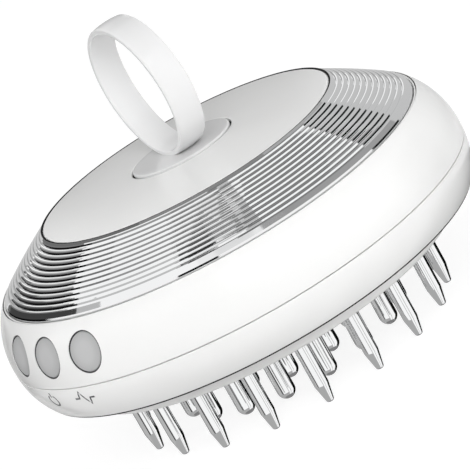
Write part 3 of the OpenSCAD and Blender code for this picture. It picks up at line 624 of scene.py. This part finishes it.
# trim ring: plain bands at its edges and sharp grooves between flat lands, on a slightly convex slope
def makeTrimRing():
    t = trim
    width = t["outerRadius"] - t["innerRadius"]
    rise = housing["lidZ"] - housing["edgeZ"]
    grooved = math.hypot(width, rise) - t["innerBand"] - t["outerBand"] - t["edgeBand"]
    pitch = grooved / t["grooves"]
    # strips of the slope, as (length, tilt), from the outer edge inwards; the groove's outward wall
    # is longer than the inward one by what the bevel drops
    bevel = t["bevelShare"] * pitch
    walls = t["grooveShare"] * pitch / math.cos(math.radians(t["wallAngle"]))
    extra = bevel * math.sin(math.radians(t["bevelAngle"])) / math.sin(math.radians(t["wallAngle"]))
    land = pitch * (1 - t["grooveShare"]) - bevel * math.cos(math.radians(t["bevelAngle"]))
    strips = [(t["edgeBand"], t["edgeTilt"]), (t["outerBand"], t["outerTilt"])]
    for k in range(t["grooves"]):
        tilt = t["landTilt"][0] + (t["landTilt"][1] - t["landTilt"][0]) * (k + 0.5) / t["grooves"]
        strips += [(land / 2, tilt - t["landRoof"]), (bevel, tilt - t["bevelAngle"]),
                   ((walls - extra) / 2, tilt - t["wallAngle"]), ((walls + extra) / 2, tilt + t["wallAngle"]),
                   (land / 2, tilt + t["landRoof"])]
    strips += [(t["innerBand"], t["innerTilt"])]
    slope = [(0.0, 0.0)]
    for length, tilt in strips:
        a = math.radians(tilt)
        slope.append((slope[-1][0] + length * math.cos(a), slope[-1][1] + length * math.sin(a)))
    # the strips are stretched a little so that they end at the edge of the lid
    wide, high = width / slope[-1][0], (rise - t["edgeRound"]) / slope[-1][1]
    profile = [(t["outerRadius"], housing["edgeZ"] - t["thickness"]), (t["outerRadius"], housing["edgeZ"])]
    for x, z in slope[1:-1]:
        profile.append((t["outerRadius"] - x * wide, housing["edgeZ"] + z * high))
    innerTop = housing["lidZ"] - t["edgeRound"]
    profile += [(t["innerRadius"] + t["edgeRound"], innerTop), (t["innerRadius"], innerTop)]
    profile += [(t["innerRadius"], ledgeZ)]
    ring = makePiece("ribbedTrimRing", latheMesh(profile, t["steps"]), materials["trimChrome"], t["sharp"])
    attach(ring, "housing")
    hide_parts("ribbed_trim_ring")


makeTrimRing()


lid = {
    "radius": 29.248, "edgeRound": 0.5, "edgeFrom": 84, "edgeSteps": 9, "crown": 1.4, "crownSteps": 40,
    "steps": 400, "recessRadius": 10.16, "recessRound": 0.15, "recessBevel": 0.045,
    "spigotRadius": 24.848, "spigotWall": 1.6, "spigotLow": 40.1,
    "bossRadius": 7.4, "bossLow": 39.3, "boreRadius": 5.08,
}


# lid: shallow crown, rounded edge and the recess of the swivel
def makeLid():
    flat = lid["radius"] - lid["edgeRound"]
    bowl = (flat ** 2 + lid["crown"] ** 2) / (2 * lid["crown"])
    crownZ = housing["lidZ"] + lid["crown"]

    def crownHeight(r):
        return crownZ - bowl + math.sqrt(bowl ** 2 - r ** 2)

    recess, bevel = lid["recessRadius"], lid["recessBevel"]
    start = recess + lid["recessRound"]
    edgeTop = crownHeight(start)
    profile = [(lid["boreRadius"], housing["lidZ"]), (recess, housing["lidZ"])]
    profile += [(recess, edgeTop - lid["recessRound"]), (recess + bevel, edgeTop - bevel), (start, edgeTop)]
    for k in range(1, lid["crownSteps"]):
        r = start + (flat - start) * k / lid["crownSteps"]
        profile.append((r, crownHeight(r)))
    profile += arcPoints((flat, housing["lidZ"] - lid["edgeRound"]), lid["edgeRound"], lid["edgeFrom"], 0,
                         lid["edgeSteps"])
    spigotOut, spigotIn = lid["spigotRadius"], lid["spigotRadius"] - lid["spigotWall"]
    profile += [(lid["radius"], ledgeZ), (spigotOut, ledgeZ), (spigotOut, lid["spigotLow"])]
    profile += [(spigotIn, lid["spigotLow"]), (spigotIn, ledgeZ), (lid["bossRadius"], ledgeZ)]
    profile += [(lid["bossRadius"], lid["bossLow"]), (lid["boreRadius"], lid["bossLow"])]
    top = makePiece("topLid", latheMesh(profile, lid["steps"]), materials["shellPlastic"])
    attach(top, "housing")
    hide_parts("top_lid")


makeLid()


# thin dark rings in the gaps beside the trim ring and at the rim of the lower shell: painted shade that
# stands in for the shadow in these gaps, as (name, inner radius, outer radius, height, crown)
shadowSeals = [
    ("lidShadowSeal", 29.16, 29.42, 43.86, 0.03),
    ("lipShadowSeal", 42.03, 42.2, 35.02, 0.02),
    ("rimShadowSeal", 43.1, 43.5, 16.86, 0.02),
]
shadowSealLook = {"height": 0.3, "crownShare": 0.96, "crownTurns": range(20, 180, 20), "steps": 320}


def makeShadowSeals():
    for name, inner, outer, top, crown in shadowSeals:
        middle, half = (inner + outer) / 2, (outer - inner) / 2
        low = top - shadowSealLook["height"]
        profile = [(inner, low), (outer, low), (outer, top)]
        for a in (math.radians(degrees) for degrees in shadowSealLook["crownTurns"]):
            profile.append((middle + half * math.cos(a) * shadowSealLook["crownShare"], top + crown * math.sin(a)))
        profile += [(inner, top)]
        shadowSeal = makePiece(name, latheMesh(profile, shadowSealLook["steps"]), materials["shadowSealBlack"])
        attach(shadowSeal, "housing")


makeShadowSeals()


swivel = {
    "radius": 9.8, "edgeRound": 0.35, "edgeSteps": 8, "topZ": 45.45, "lowZ": 43.95,
    "skirt": 0.06, "skirtTop": (0.5, 0.56), "flatRings": (1.6, 4), "stubRadius": 5.0, "stubLow": 38.85,
    "steps": 256,
}
# painted shade: size of the dark washer in the swivel's gap
shadowWasherSize = {"inner": 9.79, "outer": 10.12, "low": 43.96, "high": 44.7, "steps": 200}
fingerRing = {
    "inner": 12.25, "wall": 1.2, "width": 5.6, "bulge": 15.0, "bulgeSteps": 14, "edgeRound": 0.22,
    "outerFrom": 70, "outerSteps": 2, "innerSteps": 5, "sink": 0.6, "yaw": -11.0, "steps": 240,
}


# swivel base: flat disc with a rounded edge and a stub below it
def makeSwivelBase():
    w = swivel
    skirtR = w["radius"] - w["skirt"]
    profile = [(0, w["stubLow"]), (w["stubRadius"], w["stubLow"]), (w["stubRadius"], w["lowZ"])]
    profile += [(skirtR, w["lowZ"]), (skirtR, w["lowZ"] + w["skirtTop"][0])]
    profile += [(w["radius"], w["lowZ"] + w["skirtTop"][1])]
    profile += arcPoints((w["radius"] - w["edgeRound"], w["topZ"] - w["edgeRound"]), w["edgeRound"], 0, 90,
                         w["edgeSteps"])
    profile += [(w["radius"] - inset, w["topZ"]) for inset in w["flatRings"]] + [(0, w["topZ"])]
    disc = makePiece("swivelBase", latheMesh(profile, w["steps"], closed=False), materials["swivelPlastic"])
    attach(disc, "finger_ring_swivel")
    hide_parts("swivel_base")


# dark washer at the bottom of the swivel's gap: painted shade that stands in for the shadow deep in the gap
def makeShadowWasher():
    profile = [(shadowWasherSize["inner"], shadowWasherSize["low"]), (shadowWasherSize["outer"], shadowWasherSize["low"]),
               (shadowWasherSize["outer"], shadowWasherSize["high"]), (shadowWasherSize["inner"], shadowWasherSize["high"])]
    shadowWasherPiece = makePiece("swivelShadowWasher", latheMesh(profile, shadowWasherSize["steps"]), materials["shadowSealBlack"])
    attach(shadowWasherPiece, "housing")


# finger ring: crowned band with softly rounded edges, which stands in the swivel base
def makeFingerRing():
    f = fingerRing
    outer = f["inner"] + f["wall"]
    half, edge, steps = f["width"] / 2, f["edgeRound"], f["bulgeSteps"]
    profile = []
    for k in range(steps + 1):
        x = -half + edge + (f["width"] - 2 * edge) * k / steps
        profile.append((outer - f["bulge"] + math.sqrt(f["bulge"] ** 2 - x ** 2), x))
    top = profile[-1][0]
    profile += arcPoints((top - edge, half - edge), edge, f["outerFrom"], 90, f["outerSteps"])
    profile += arcPoints((f["inner"] + edge, half - edge), edge, 90, 180, f["innerSteps"])
    profile += arcPoints((f["inner"] + edge, -half + edge), edge, 180, 270, f["innerSteps"])
    profile += arcPoints((top - edge, -half + edge), edge, -90, -f["outerFrom"], f["outerSteps"])
    mesh = latheMesh(profile, f["steps"])
    centreZ = swivel["topZ"] - f["sink"] + outer
    yaw = Matrix.Rotation(math.radians(f["yaw"]), 4, "Z")
    upright = Matrix.Rotation(math.radians(90), 4, "X")
    turn = Matrix.Translation((0, 0, centreZ * mm)) @ yaw @ upright
    bmesh.ops.transform(mesh, matrix=turn, verts=mesh.verts)
    ring = makePiece("fingerRing", mesh, materials["ringPlastic"])
    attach(ring, "finger_ring_swivel")
    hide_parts("finger_ring")


makeSwivelBase()
makeShadowWasher()
makeFingerRing()
print("lid, swivel and finger ring made")


# depth below the swell, along a button's axis, at a point of its face
def swellDepth(matrix, x, y, sink):
    reach = (housing["swellRadius"] - sink) * mm
    w = 0.0
    for _ in range(buttons["depthRounds"]):
        point = matrix @ Vector((x * mm, y * mm, w))
        radial = math.hypot(point.x, point.y) - swellCentre[0] * mm
        w += reach - math.hypot(radial, point.z - swellCentre[1] * mm)
    return w / mm


# button: a cap that follows the swell, with a rounded rim, its flange and its stem
def makeButton(index, name):
    b = buttons
    matrix = buttonFrame(index)
    mesh = bmesh.new()
    shade = mesh.verts.layers.float.new("paintedRimShade")
    turns = circleTurns(b["segments"])
    cap, edge = b["capRadius"], b["edgeRound"]
    radii = [*b["faceRings"], cap - edge]
    radii += [cap - edge + edge * math.sin(math.radians(a)) for a in b["rimTurns"]]
    rings = []
    for radius in radii:
        drop = edge - math.sqrt(max(edge ** 2 - max(radius - cap + edge, 0) ** 2, 0))
        ring = []
        for a in turns:
            x, y = radius * math.cos(a), radius * math.sin(a)
            vert = mesh.verts.new((x, y, swellDepth(matrix, x, y, b["sink"]) - drop))
            # painted shade: each point of the cap is darker the nearer it lies to the rim
            vert[shade] = max(0.0, radius / cap - b["paintedRimShade"]) / (1 - b["paintedRimShade"])
            ring.append(vert)
        rings.append(ring)
    for radius, depth in ((cap, b["flangeTop"]), (b["flangeRadius"], b["flangeTop"]),
                          (b["flangeRadius"], b["flangeLow"]), (b["stemRadius"], b["flangeLow"]),
                          (b["stemRadius"], b["stemLow"])):
        rings.append([mesh.verts.new((radius * math.cos(a), radius * math.sin(a), -depth)) for a in turns])
    middle = mesh.verts.new((0, 0, swellDepth(matrix, 0, 0, b["sink"])))
    for k in range(len(turns)):
        after = (k + 1) % len(turns)
        mesh.faces.new((middle, rings[0][k], rings[0][after]))
        for inner, outer in zip(rings, rings[1:]):
            mesh.faces.new((inner[k], outer[k], outer[after], inner[after]))
    mesh.faces.new(rings[-1][::-1])
    bmesh.ops.recalc_face_normals(mesh, faces=mesh.faces)
    for vert in mesh.verts:
        vert.co = matrix @ (vert.co * mm)
    button = makePiece(name, mesh, materials["frostedCap"], b["sharp"])
    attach(button, b["names"][index])
    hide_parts(b["names"][index])


# grey ring in the gap around a button, a little below the swell: painted shade that stands in for the shadow
# in the gap
def makeButtonShadowSeal(index, name):
    b = buttons
    matrix = buttonFrame(index)
    inner, outer = b["capRadius"] + b["shadowSealFit"], b["boreRadius"] - b["shadowSealFit"]
    mesh = bmesh.new()
    sections = []
    for a in circleTurns(b["segments"]):
        section = []
        for radius, depth in ((inner, 0), (outer, 0), (outer, b["shadowSealHeight"]), (inner, b["shadowSealHeight"])):
            x, y = radius * math.cos(a), radius * math.sin(a)
            height = swellDepth(matrix, x, y, b["shadowSealSink"]) - depth
            section.append(mesh.verts.new(matrix @ (Vector((x, y, height)) * mm)))
        sections.append(section)
    for here, after in zip(sections, sections[1:] + sections[:1]):
        for k in range(len(here)):
            mesh.faces.new((here[k], here[k - 1], after[k - 1], after[k]))
    bmesh.ops.recalc_face_normals(mesh, faces=mesh.faces)
    shadowSeal = makePiece(name, mesh, materials["shadowSealGrey"])
    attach(shadowSeal, "housing")


for index, name in enumerate(("powerButton", "pulseButton", "levelButton")):
    makeButton(index, name)
    makeButtonShadowSeal(index, name + "ShadowSeal")


# printed marks on the lower shell, drawn in millimetres: a power sign and a pulse sign
marks = {
    "lift": 0.012, "stroke": 0.36, "drop": 2.35, "lean": -0.2, "powerAt": -95.9, "pulseAt": -83.2,
    "power": [arcPoints((0, -0.2), 1.25, 122, 418, 40), [(0, 0.55), (0, 1.05), (0, 1.55)]],
    "pulse": [[(-2.7, 0), (-2.1, 0), (-1.5, 0), (-1.15, 0.75), (-0.8, 1.5), (-0.3, 0.5),
               (0.2, -0.5), (0.7, -1.5), (1.05, -0.75), (1.4, 0), (2.0, 0), (2.6, 0)]],
}


def onLowerShell(azimuth, u, v):
    turn = (-marks["drop"] + v) / housing["tuckRadius"]
    reach = housing["tuckRadius"] + marks["lift"]
    radius = tuckCentre[0] + reach * math.cos(turn)
    height = tuckCentre[1] + reach * math.sin(turn)
    angle = math.radians(azimuth) + u / radius
    return Vector((radius * math.cos(angle), radius * math.sin(angle), height)) * mm


def drawStroke(mesh, azimuth, points):
    half = marks["stroke"] / 2
    sides = []
    for k, (u, v) in enumerate(points):
        before, after = points[max(k - 1, 0)], points[min(k + 1, len(points) - 1)]
        du, dv = after[0] - before[0], after[1] - before[1]
        length = math.hypot(du, dv)
        nu, nv = -dv / length * half, du / length * half
        sides.append((mesh.verts.new(onLowerShell(azimuth, u + nu, v + nv)),
                      mesh.verts.new(onLowerShell(azimuth, u - nu, v - nv))))
    for (a, b), (c, d) in zip(sides, sides[1:]):
        mesh.faces.new((a, c, d, b))


def makeMark(name, azimuth, strokes):
    mesh = bmesh.new()
    for points in strokes:
        drawStroke(mesh, azimuth, points)
    outward = Vector((math.cos(math.radians(azimuth)), math.sin(math.radians(azimuth)), marks["lean"]))
    for face in mesh.faces:
        face.normal_update()
        if face.normal.dot(outward) < 0:
            face.normal_flip()
    mark = makePiece(name, mesh, materials["printInk"])
    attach(mark, "housing")


makeMark("powerMark", marks["powerAt"], marks["power"])
makeMark("pulseMark", marks["pulseAt"], marks["pulse"])
print("buttons and marks made")


# the CAD nodes that stay as they are get their finishes here
nodeFinishes = {
    "turnedSteel": ("retaining_washer", "swivel_screw", "battery_strap", "motor_can", "motor_shaft",
                    "charging_socket", "housing_screws", "chassis_screws", "clamp_screws", "lid_screws"),
    "springBrass": ("contact_springs", "pulse_coil", "eccentric_weight"),
    "innerPlastic": ("switch_bracket", "chassis", "motor_clamp"),
    "darkPlastic": ("friction_washer", "tact_switches", "board_chips"),
    "boardMask": ("main_board", "charging_board"),
    "flexFilm": ("switch_flex",),
    "cellWrap": ("battery_cell",),
}
for finish, nodeNames in nodeFinishes.items():
    for nodeName in nodeNames:
        owned = nodes[nodeName].data.materials
        if not owned:
            owned.append(materials[finish])
        for slotIndex in range(len(owned)):
            owned[slotIndex] = materials[finish]
print("finishes given to", sum(len(nodeNames) for nodeNames in nodeFinishes.values()), "inner pieces")


# azimuth and elevation in degrees, as a direction or a point in metres
def aroundPoint(azimuth, elevation, distance=1.0):
    a, e = math.radians(azimuth), math.radians(elevation)
    return distance * math.cos(e) * math.cos(a), distance * math.cos(e) * math.sin(a), distance * math.sin(e)


# camera, at a low angle and rolled; lengths in millimetres
cameraView = {
    "azimuth": -32.0, "elevation": 15.32, "roll": -29.5, "distance": 625.4, "aimZ": 24.2,
    "shiftRight": 0.31, "shiftUp": -2.02, "lens": 265.32, "sensor": 36.0, "clipStart": 10,
}


def makeCamera():
    c = cameraView
    azimuth, roll = math.radians(c["azimuth"]), math.radians(c["roll"])
    forward = -Vector(aroundPoint(c["azimuth"], c["elevation"]))
    level = Vector((-math.sin(azimuth), math.cos(azimuth), 0))
    upright = level.cross(forward)
    right = level * math.cos(roll) + upright * math.sin(roll)
    up = upright * math.cos(roll) - level * math.sin(roll)
    place = Vector((0, 0, c["aimZ"])) - right * c["shiftRight"] - up * c["shiftUp"] - forward * c["distance"]
    camera = bpy.data.cameras.new("camera")
    camera.lens = c["lens"]
    camera.sensor_width = c["sensor"]
    camera.clip_start = c["clipStart"] * mm
    holder = addObject("camera", camera)
    holder.matrix_world = frameMatrix(right, up, -forward, [length * mm for length in place])
    scene.camera = holder


makeCamera()


# a material without a shader, for the floor and the cards
def bareMaterial(name):
    material, tree, shader = newMaterial(name)
    tree.nodes.remove(shader)
    return material, tree, tree.nodes["Material Output"]


# floor: plain and pale, it keeps a soft shadow; share is how much of it glows to the camera
floorLook = {"radius": 8.0, "segments": 96, "colour": 0.7, "share": 0.65, "glow": 1.32}


def makeFloor():
    mesh = bmesh.new()
    bmesh.ops.create_circle(mesh, cap_ends=True, segments=floorLook["segments"], radius=floorLook["radius"])
    material, tree, output = bareMaterial("paleFloor")
    diffuse = addNode(tree, "ShaderNodeBsdfDiffuse", inputs={"Color": (floorLook["colour"],) * 3 + (1,)})
    glow = addNode(tree, "ShaderNodeEmission", inputs={"Color": (1, 1, 1, 1), "Strength": floorLook["glow"]})
    rays = addNode(tree, "ShaderNodeLightPath")
    share = addNode(tree, "ShaderNodeMapRange", inputs={"To Min": 0, "To Max": floorLook["share"]})
    mix = addNode(tree, "ShaderNodeMixShader")
    link(rays, "Is Camera Ray", share, "Value")
    link(share, "Result", mix, "Fac")
    link(diffuse, "BSDF", mix, 1)
    link(glow, "Emission", mix, 2)
    link(mix, "Shader", output, "Surface")
    floor = makePiece("floor", mesh, material)
    floor.visible_glossy = False


makeFloor()


# reflection cards: panels around the object that only polished surfaces see, as (name, shade, distance
# in metres, corners). A corner is (turn, height): turn is counted from the camera to its right, height
# above the horizon, in degrees.
cards = [
    ("farWall", 0.58, 3.45, ((117, -20), (182, -20), (182, 50), (117, 50))),
    ("farLeft", 0.62, 3.45, ((182, -20), (202, -20), (197, 14), (182, 14))),
    ("farDusk", 0.36, 3.3, ((175, -4), (185, -4), (185, 19), (175, 19))),
    ("farDim", 0.5, 3.3, ((175, 19), (185, 19), (185, 23), (175, 23))),
    ("farGlow", 0.95, 3.3, ((165, 10), (174, 10), (173, 24.5), (164, 24.5))),
    ("farLow", 0.8, 3.3, ((119, -20), (174, -20), (174, -11), (119, -11))),
    ("rightSlit", 0.12, 3.1, ((162, 33), (175, 33), (191, 54), (162, 54))),
    ("rightTop", 0.19, 3.25, ((118, 46), (150, 47), (178, 84), (45, 84))),
    ("rightPale", 0.27, 3.2, ((130, 46), (152, 47), (181, 74), (128, 80))),
    ("rightSide", 0.36, 3.15, ((96, 30), (134, 30), (122, 53), (34, 84))),
    ("zenithRim", 0.92, 3.6, ((0, 75), (360, 75), (360, 90), (0, 90))),
    ("zenithEdge", 0.8, 3.55, ((0, 78), (360, 78), (360, 90), (0, 90))),
    ("zenithMiddle", 0.76, 3.5, ((0, 81), (360, 81), (360, 90), (0, 90))),
    ("zenith", 0.66, 3.45, ((0, 84), (360, 84), (360, 90), (0, 90))),
    ("leftPale", 0.5, 3.2, ((-170, 8), (-140, 8), (-122, 40), (-155, 40))),
    ("leftGrey", 0.2, 3.1, ((-165, 8), (-140, 8), (-122, 40), (-140.5, 40))),
    ("leftDark", 0.055, 3.0, ((-163.5, 3), (-118, 3), (-115, 41), (-127, 41))),
    ("leftPatch", 0.52, 3.1, ((-123, 38), (-106, 38), (-106, 49), (-118, 49))),
    ("leftBlack", 0.004, 2.9, ((-160, -20), (-92, -20), (-92, 21), (-160, -2))),
    ("frontShade", 0.55, 2.9, ((-93, 0), (-28, 6), (-28, 28), (-93, 19))),
    ("frontDark", 0.17, 2.8, ((-93, 6), (-72, 9.5), (-72, 20), (-93, 17))),
    ("frontGrey", 0.3, 2.8, ((-72, 9.5), (-28, 15), (-28, 29), (-72, 20))),
    ("frontMiddle", 0.24, 2.8, ((-28, 15), (8, 13), (8, 30), (-28, 29))),
    ("frontFade", 0.55, 2.8, ((8, 10), (17, 10), (17, 30), (8, 30))),
    ("frontBlack", 0.02, 2.7, ((-29, 11.5), (-8, 12.5), (-8, 14.6), (-29, 13.8))),
    ("frontBlackTop", 0.12, 2.7, ((-29, 13.8), (-8, 14.6), (-8, 17), (-29, 16))),
    ("frontGlint", 0.01, 2.8, ((-35, 31), (-11, 32), (-11, 42), (-35, 41))),
    ("rightBlack", 0.02, 2.8, ((87, -20), (118, -20), (118, 22), (87, 22))),
]
# cards that the trim's inner band mirrors between two turns around the housing
bandCards = [
    ("innerLeft", 0.16, 2.6, (-86, -26)),
    ("innerMiddle", 0.26, 2.6, (-26, 24)),
    ("innerRight", 0.42, 2.6, (24, 60)),
]
# the pins mirror cards close under the body, as (name, shade, reach, turns, heights), reach and heights in
# millimetres
pinBand = (-130, -3)
pinCards = [
    ("pinGrey", 0.5, 90, (-180, -42), pinBand),
    ("pinDark", 0.003, 90, (80, 182), pinBand),
    ("pinTaper", 0.42, 87, (-180, 10), (-130, -34)),
    ("pinLineA", 0.04, 88, (-180, -142), pinBand),
    ("pinLineB", 0.08, 88, (-120, -110), pinBand),
    ("pinLineC", 0.06, 88, (-58, -44), pinBand),
    ("pinLineD", 0.5, 88, (9, 15), pinBand),
    ("pinLineE", 0.5, 88, (33, 39), pinBand),
]
pinFloor = {"radius": 86, "shade": 0.22, "segments": 64}
cardLook = {"centreZ": 0.04, "steps": 32, "pinSteps": 24, "bandSpread": 4}


def makeCard(name, mesh, shade):
    material, tree, output = bareMaterial(name)
    glow = addNode(tree, "ShaderNodeEmission", inputs={"Color": (1, 1, 1, 1), "Strength": shade})
    link(glow, "Emission", output, "Surface")
    card = makePiece(name, mesh, material)
    card.visible_camera = False
    card.visible_diffuse = False
    card.visible_shadow = False
    card.visible_transmission = False


def makeGrid(rows):
    mesh = bmesh.new()
    grid = [[mesh.verts.new(point) for point in row] for row in rows]
    for low, high in zip(grid, grid[1:]):
        for k in range(len(low) - 1):
            mesh.faces.new((low[k], low[k + 1], high[k + 1], high[k]))
    return mesh


def between(start, end, share):
    return [a + (b - a) * share for a, b in zip(start, end)]


def cardPoint(turn, height, distance):
    x, y, z = aroundPoint(cameraView["azimuth"] + turn, height, distance)
    return x, y, cardLook["centreZ"] + z


# where the camera's ray goes after a facet of the trim: its tilt from level and its turn
def mirroredPoint(tilt, turn, distance):
    normal = Vector(aroundPoint(turn, 90 - tilt))
    view = Vector(aroundPoint(0, cameraView["elevation"]))
    ray = 2 * normal.dot(view) * normal - view
    return cardPoint(math.degrees(math.atan2(ray.y, ray.x)), math.degrees(math.asin(ray.z)), distance)


def makeCards():
    shares = [k / cardLook["steps"] for k in range(cardLook["steps"] + 1)]
    for name, shade, distance, (c0, c1, c2, c3) in cards:
        rows = [[cardPoint(*between(between(c0, c3, v), between(c1, c2, v), u), distance) for u in shares]
                for v in shares]
        makeCard(name, makeGrid(rows), shade)
    for name, shade, distance, (first, last) in bandCards:
        turns = [first + (last - first) * u for u in shares]
        rows = [[mirroredPoint(trim["innerTilt"] + side, turn, distance) for turn in turns]
                for side in (-cardLook["bandSpread"], 0, cardLook["bandSpread"])]
        makeCard(name, makeGrid(rows), shade)
    for name, shade, reach, (first, last), heights in pinCards:
        rows = []
        for z in heights:
            spots = [polar(reach, cameraView["azimuth"] + first + (last - first) * k / cardLook["pinSteps"])
                     for k in range(cardLook["pinSteps"] + 1)]
            rows.append([(spot.x, spot.y, z * mm) for spot in spots])
        makeCard(name, makeGrid(rows), shade)
    below = bmesh.new()
    place = Matrix.Translation((0, 0, pinBand[0] * mm))
    bmesh.ops.create_circle(below, cap_ends=True, segments=pinFloor["segments"],
                            radius=pinFloor["radius"] * mm, matrix=place)
    makeCard("pinFloor", below, pinFloor["shade"])


makeCards()


# soft lamps, as (name, turn, height, distance, size, watts), with turn and height as for the cards
# and lengths in metres
lamps = [
    ("keyLamp", 2, 32, 0.55, 0.32, 1.44),
    ("leftLamp", -92, 10, 0.9, 0.5, 2.2),
    ("rightLamp", 64, 2, 0.9, 0.5, 2.2),
    ("backLamp", 114, 1, 0.9, 0.5, 1.3),
]
lampAim = (0, 0, 0.035)


def makeLamps():
    for name, turn, height, distance, size, watts in lamps:
        direction = Vector(aroundPoint(cameraView["azimuth"] + turn, height))
        light = bpy.data.lights.new(name, "AREA")
        light.shape = "DISK"
        light.size = size
        light.energy = watts
        holder = addObject(name, light)
        holder.location = Vector(lampAim) + direction * distance
        holder.rotation_euler = direction.to_track_quat("Z", "Y").to_euler()
        holder.visible_glossy = False


# strength of the world's white for what it lights, and for what looks at it
worldLook = {"lighting": 0.5, "background": 1.0}


def makeWorld():
    world = bpy.data.worlds.new("studio")
    scene.world = world
    world.use_nodes = True
    tree = world.node_tree
    background = tree.nodes["Background"]
    background.inputs["Color"].default_value = (1, 1, 1, 1)
    rays = addNode(tree, "ShaderNodeLightPath")
    seen = addNode(tree, "ShaderNodeMath", {"operation": "MAXIMUM"})
    clear = addNode(tree, "ShaderNodeMath", {"operation": "MAXIMUM"})
    strength = addNode(tree, "ShaderNodeMapRange",
                       inputs={"To Min": worldLook["lighting"], "To Max": worldLook["background"]})
    link(rays, "Is Camera Ray", seen, 0)
    link(rays, "Is Glossy Ray", seen, 1)
    link(seen, "Value", clear, 0)
    link(rays, "Is Transmission Ray", clear, 1)
    link(clear, "Value", strength, "Value")
    link(strength, "Result", background, "Strength")


makeLamps()
makeWorld()
scene.view_settings.view_transform = "Standard"
print("camera, lamps and stage made")
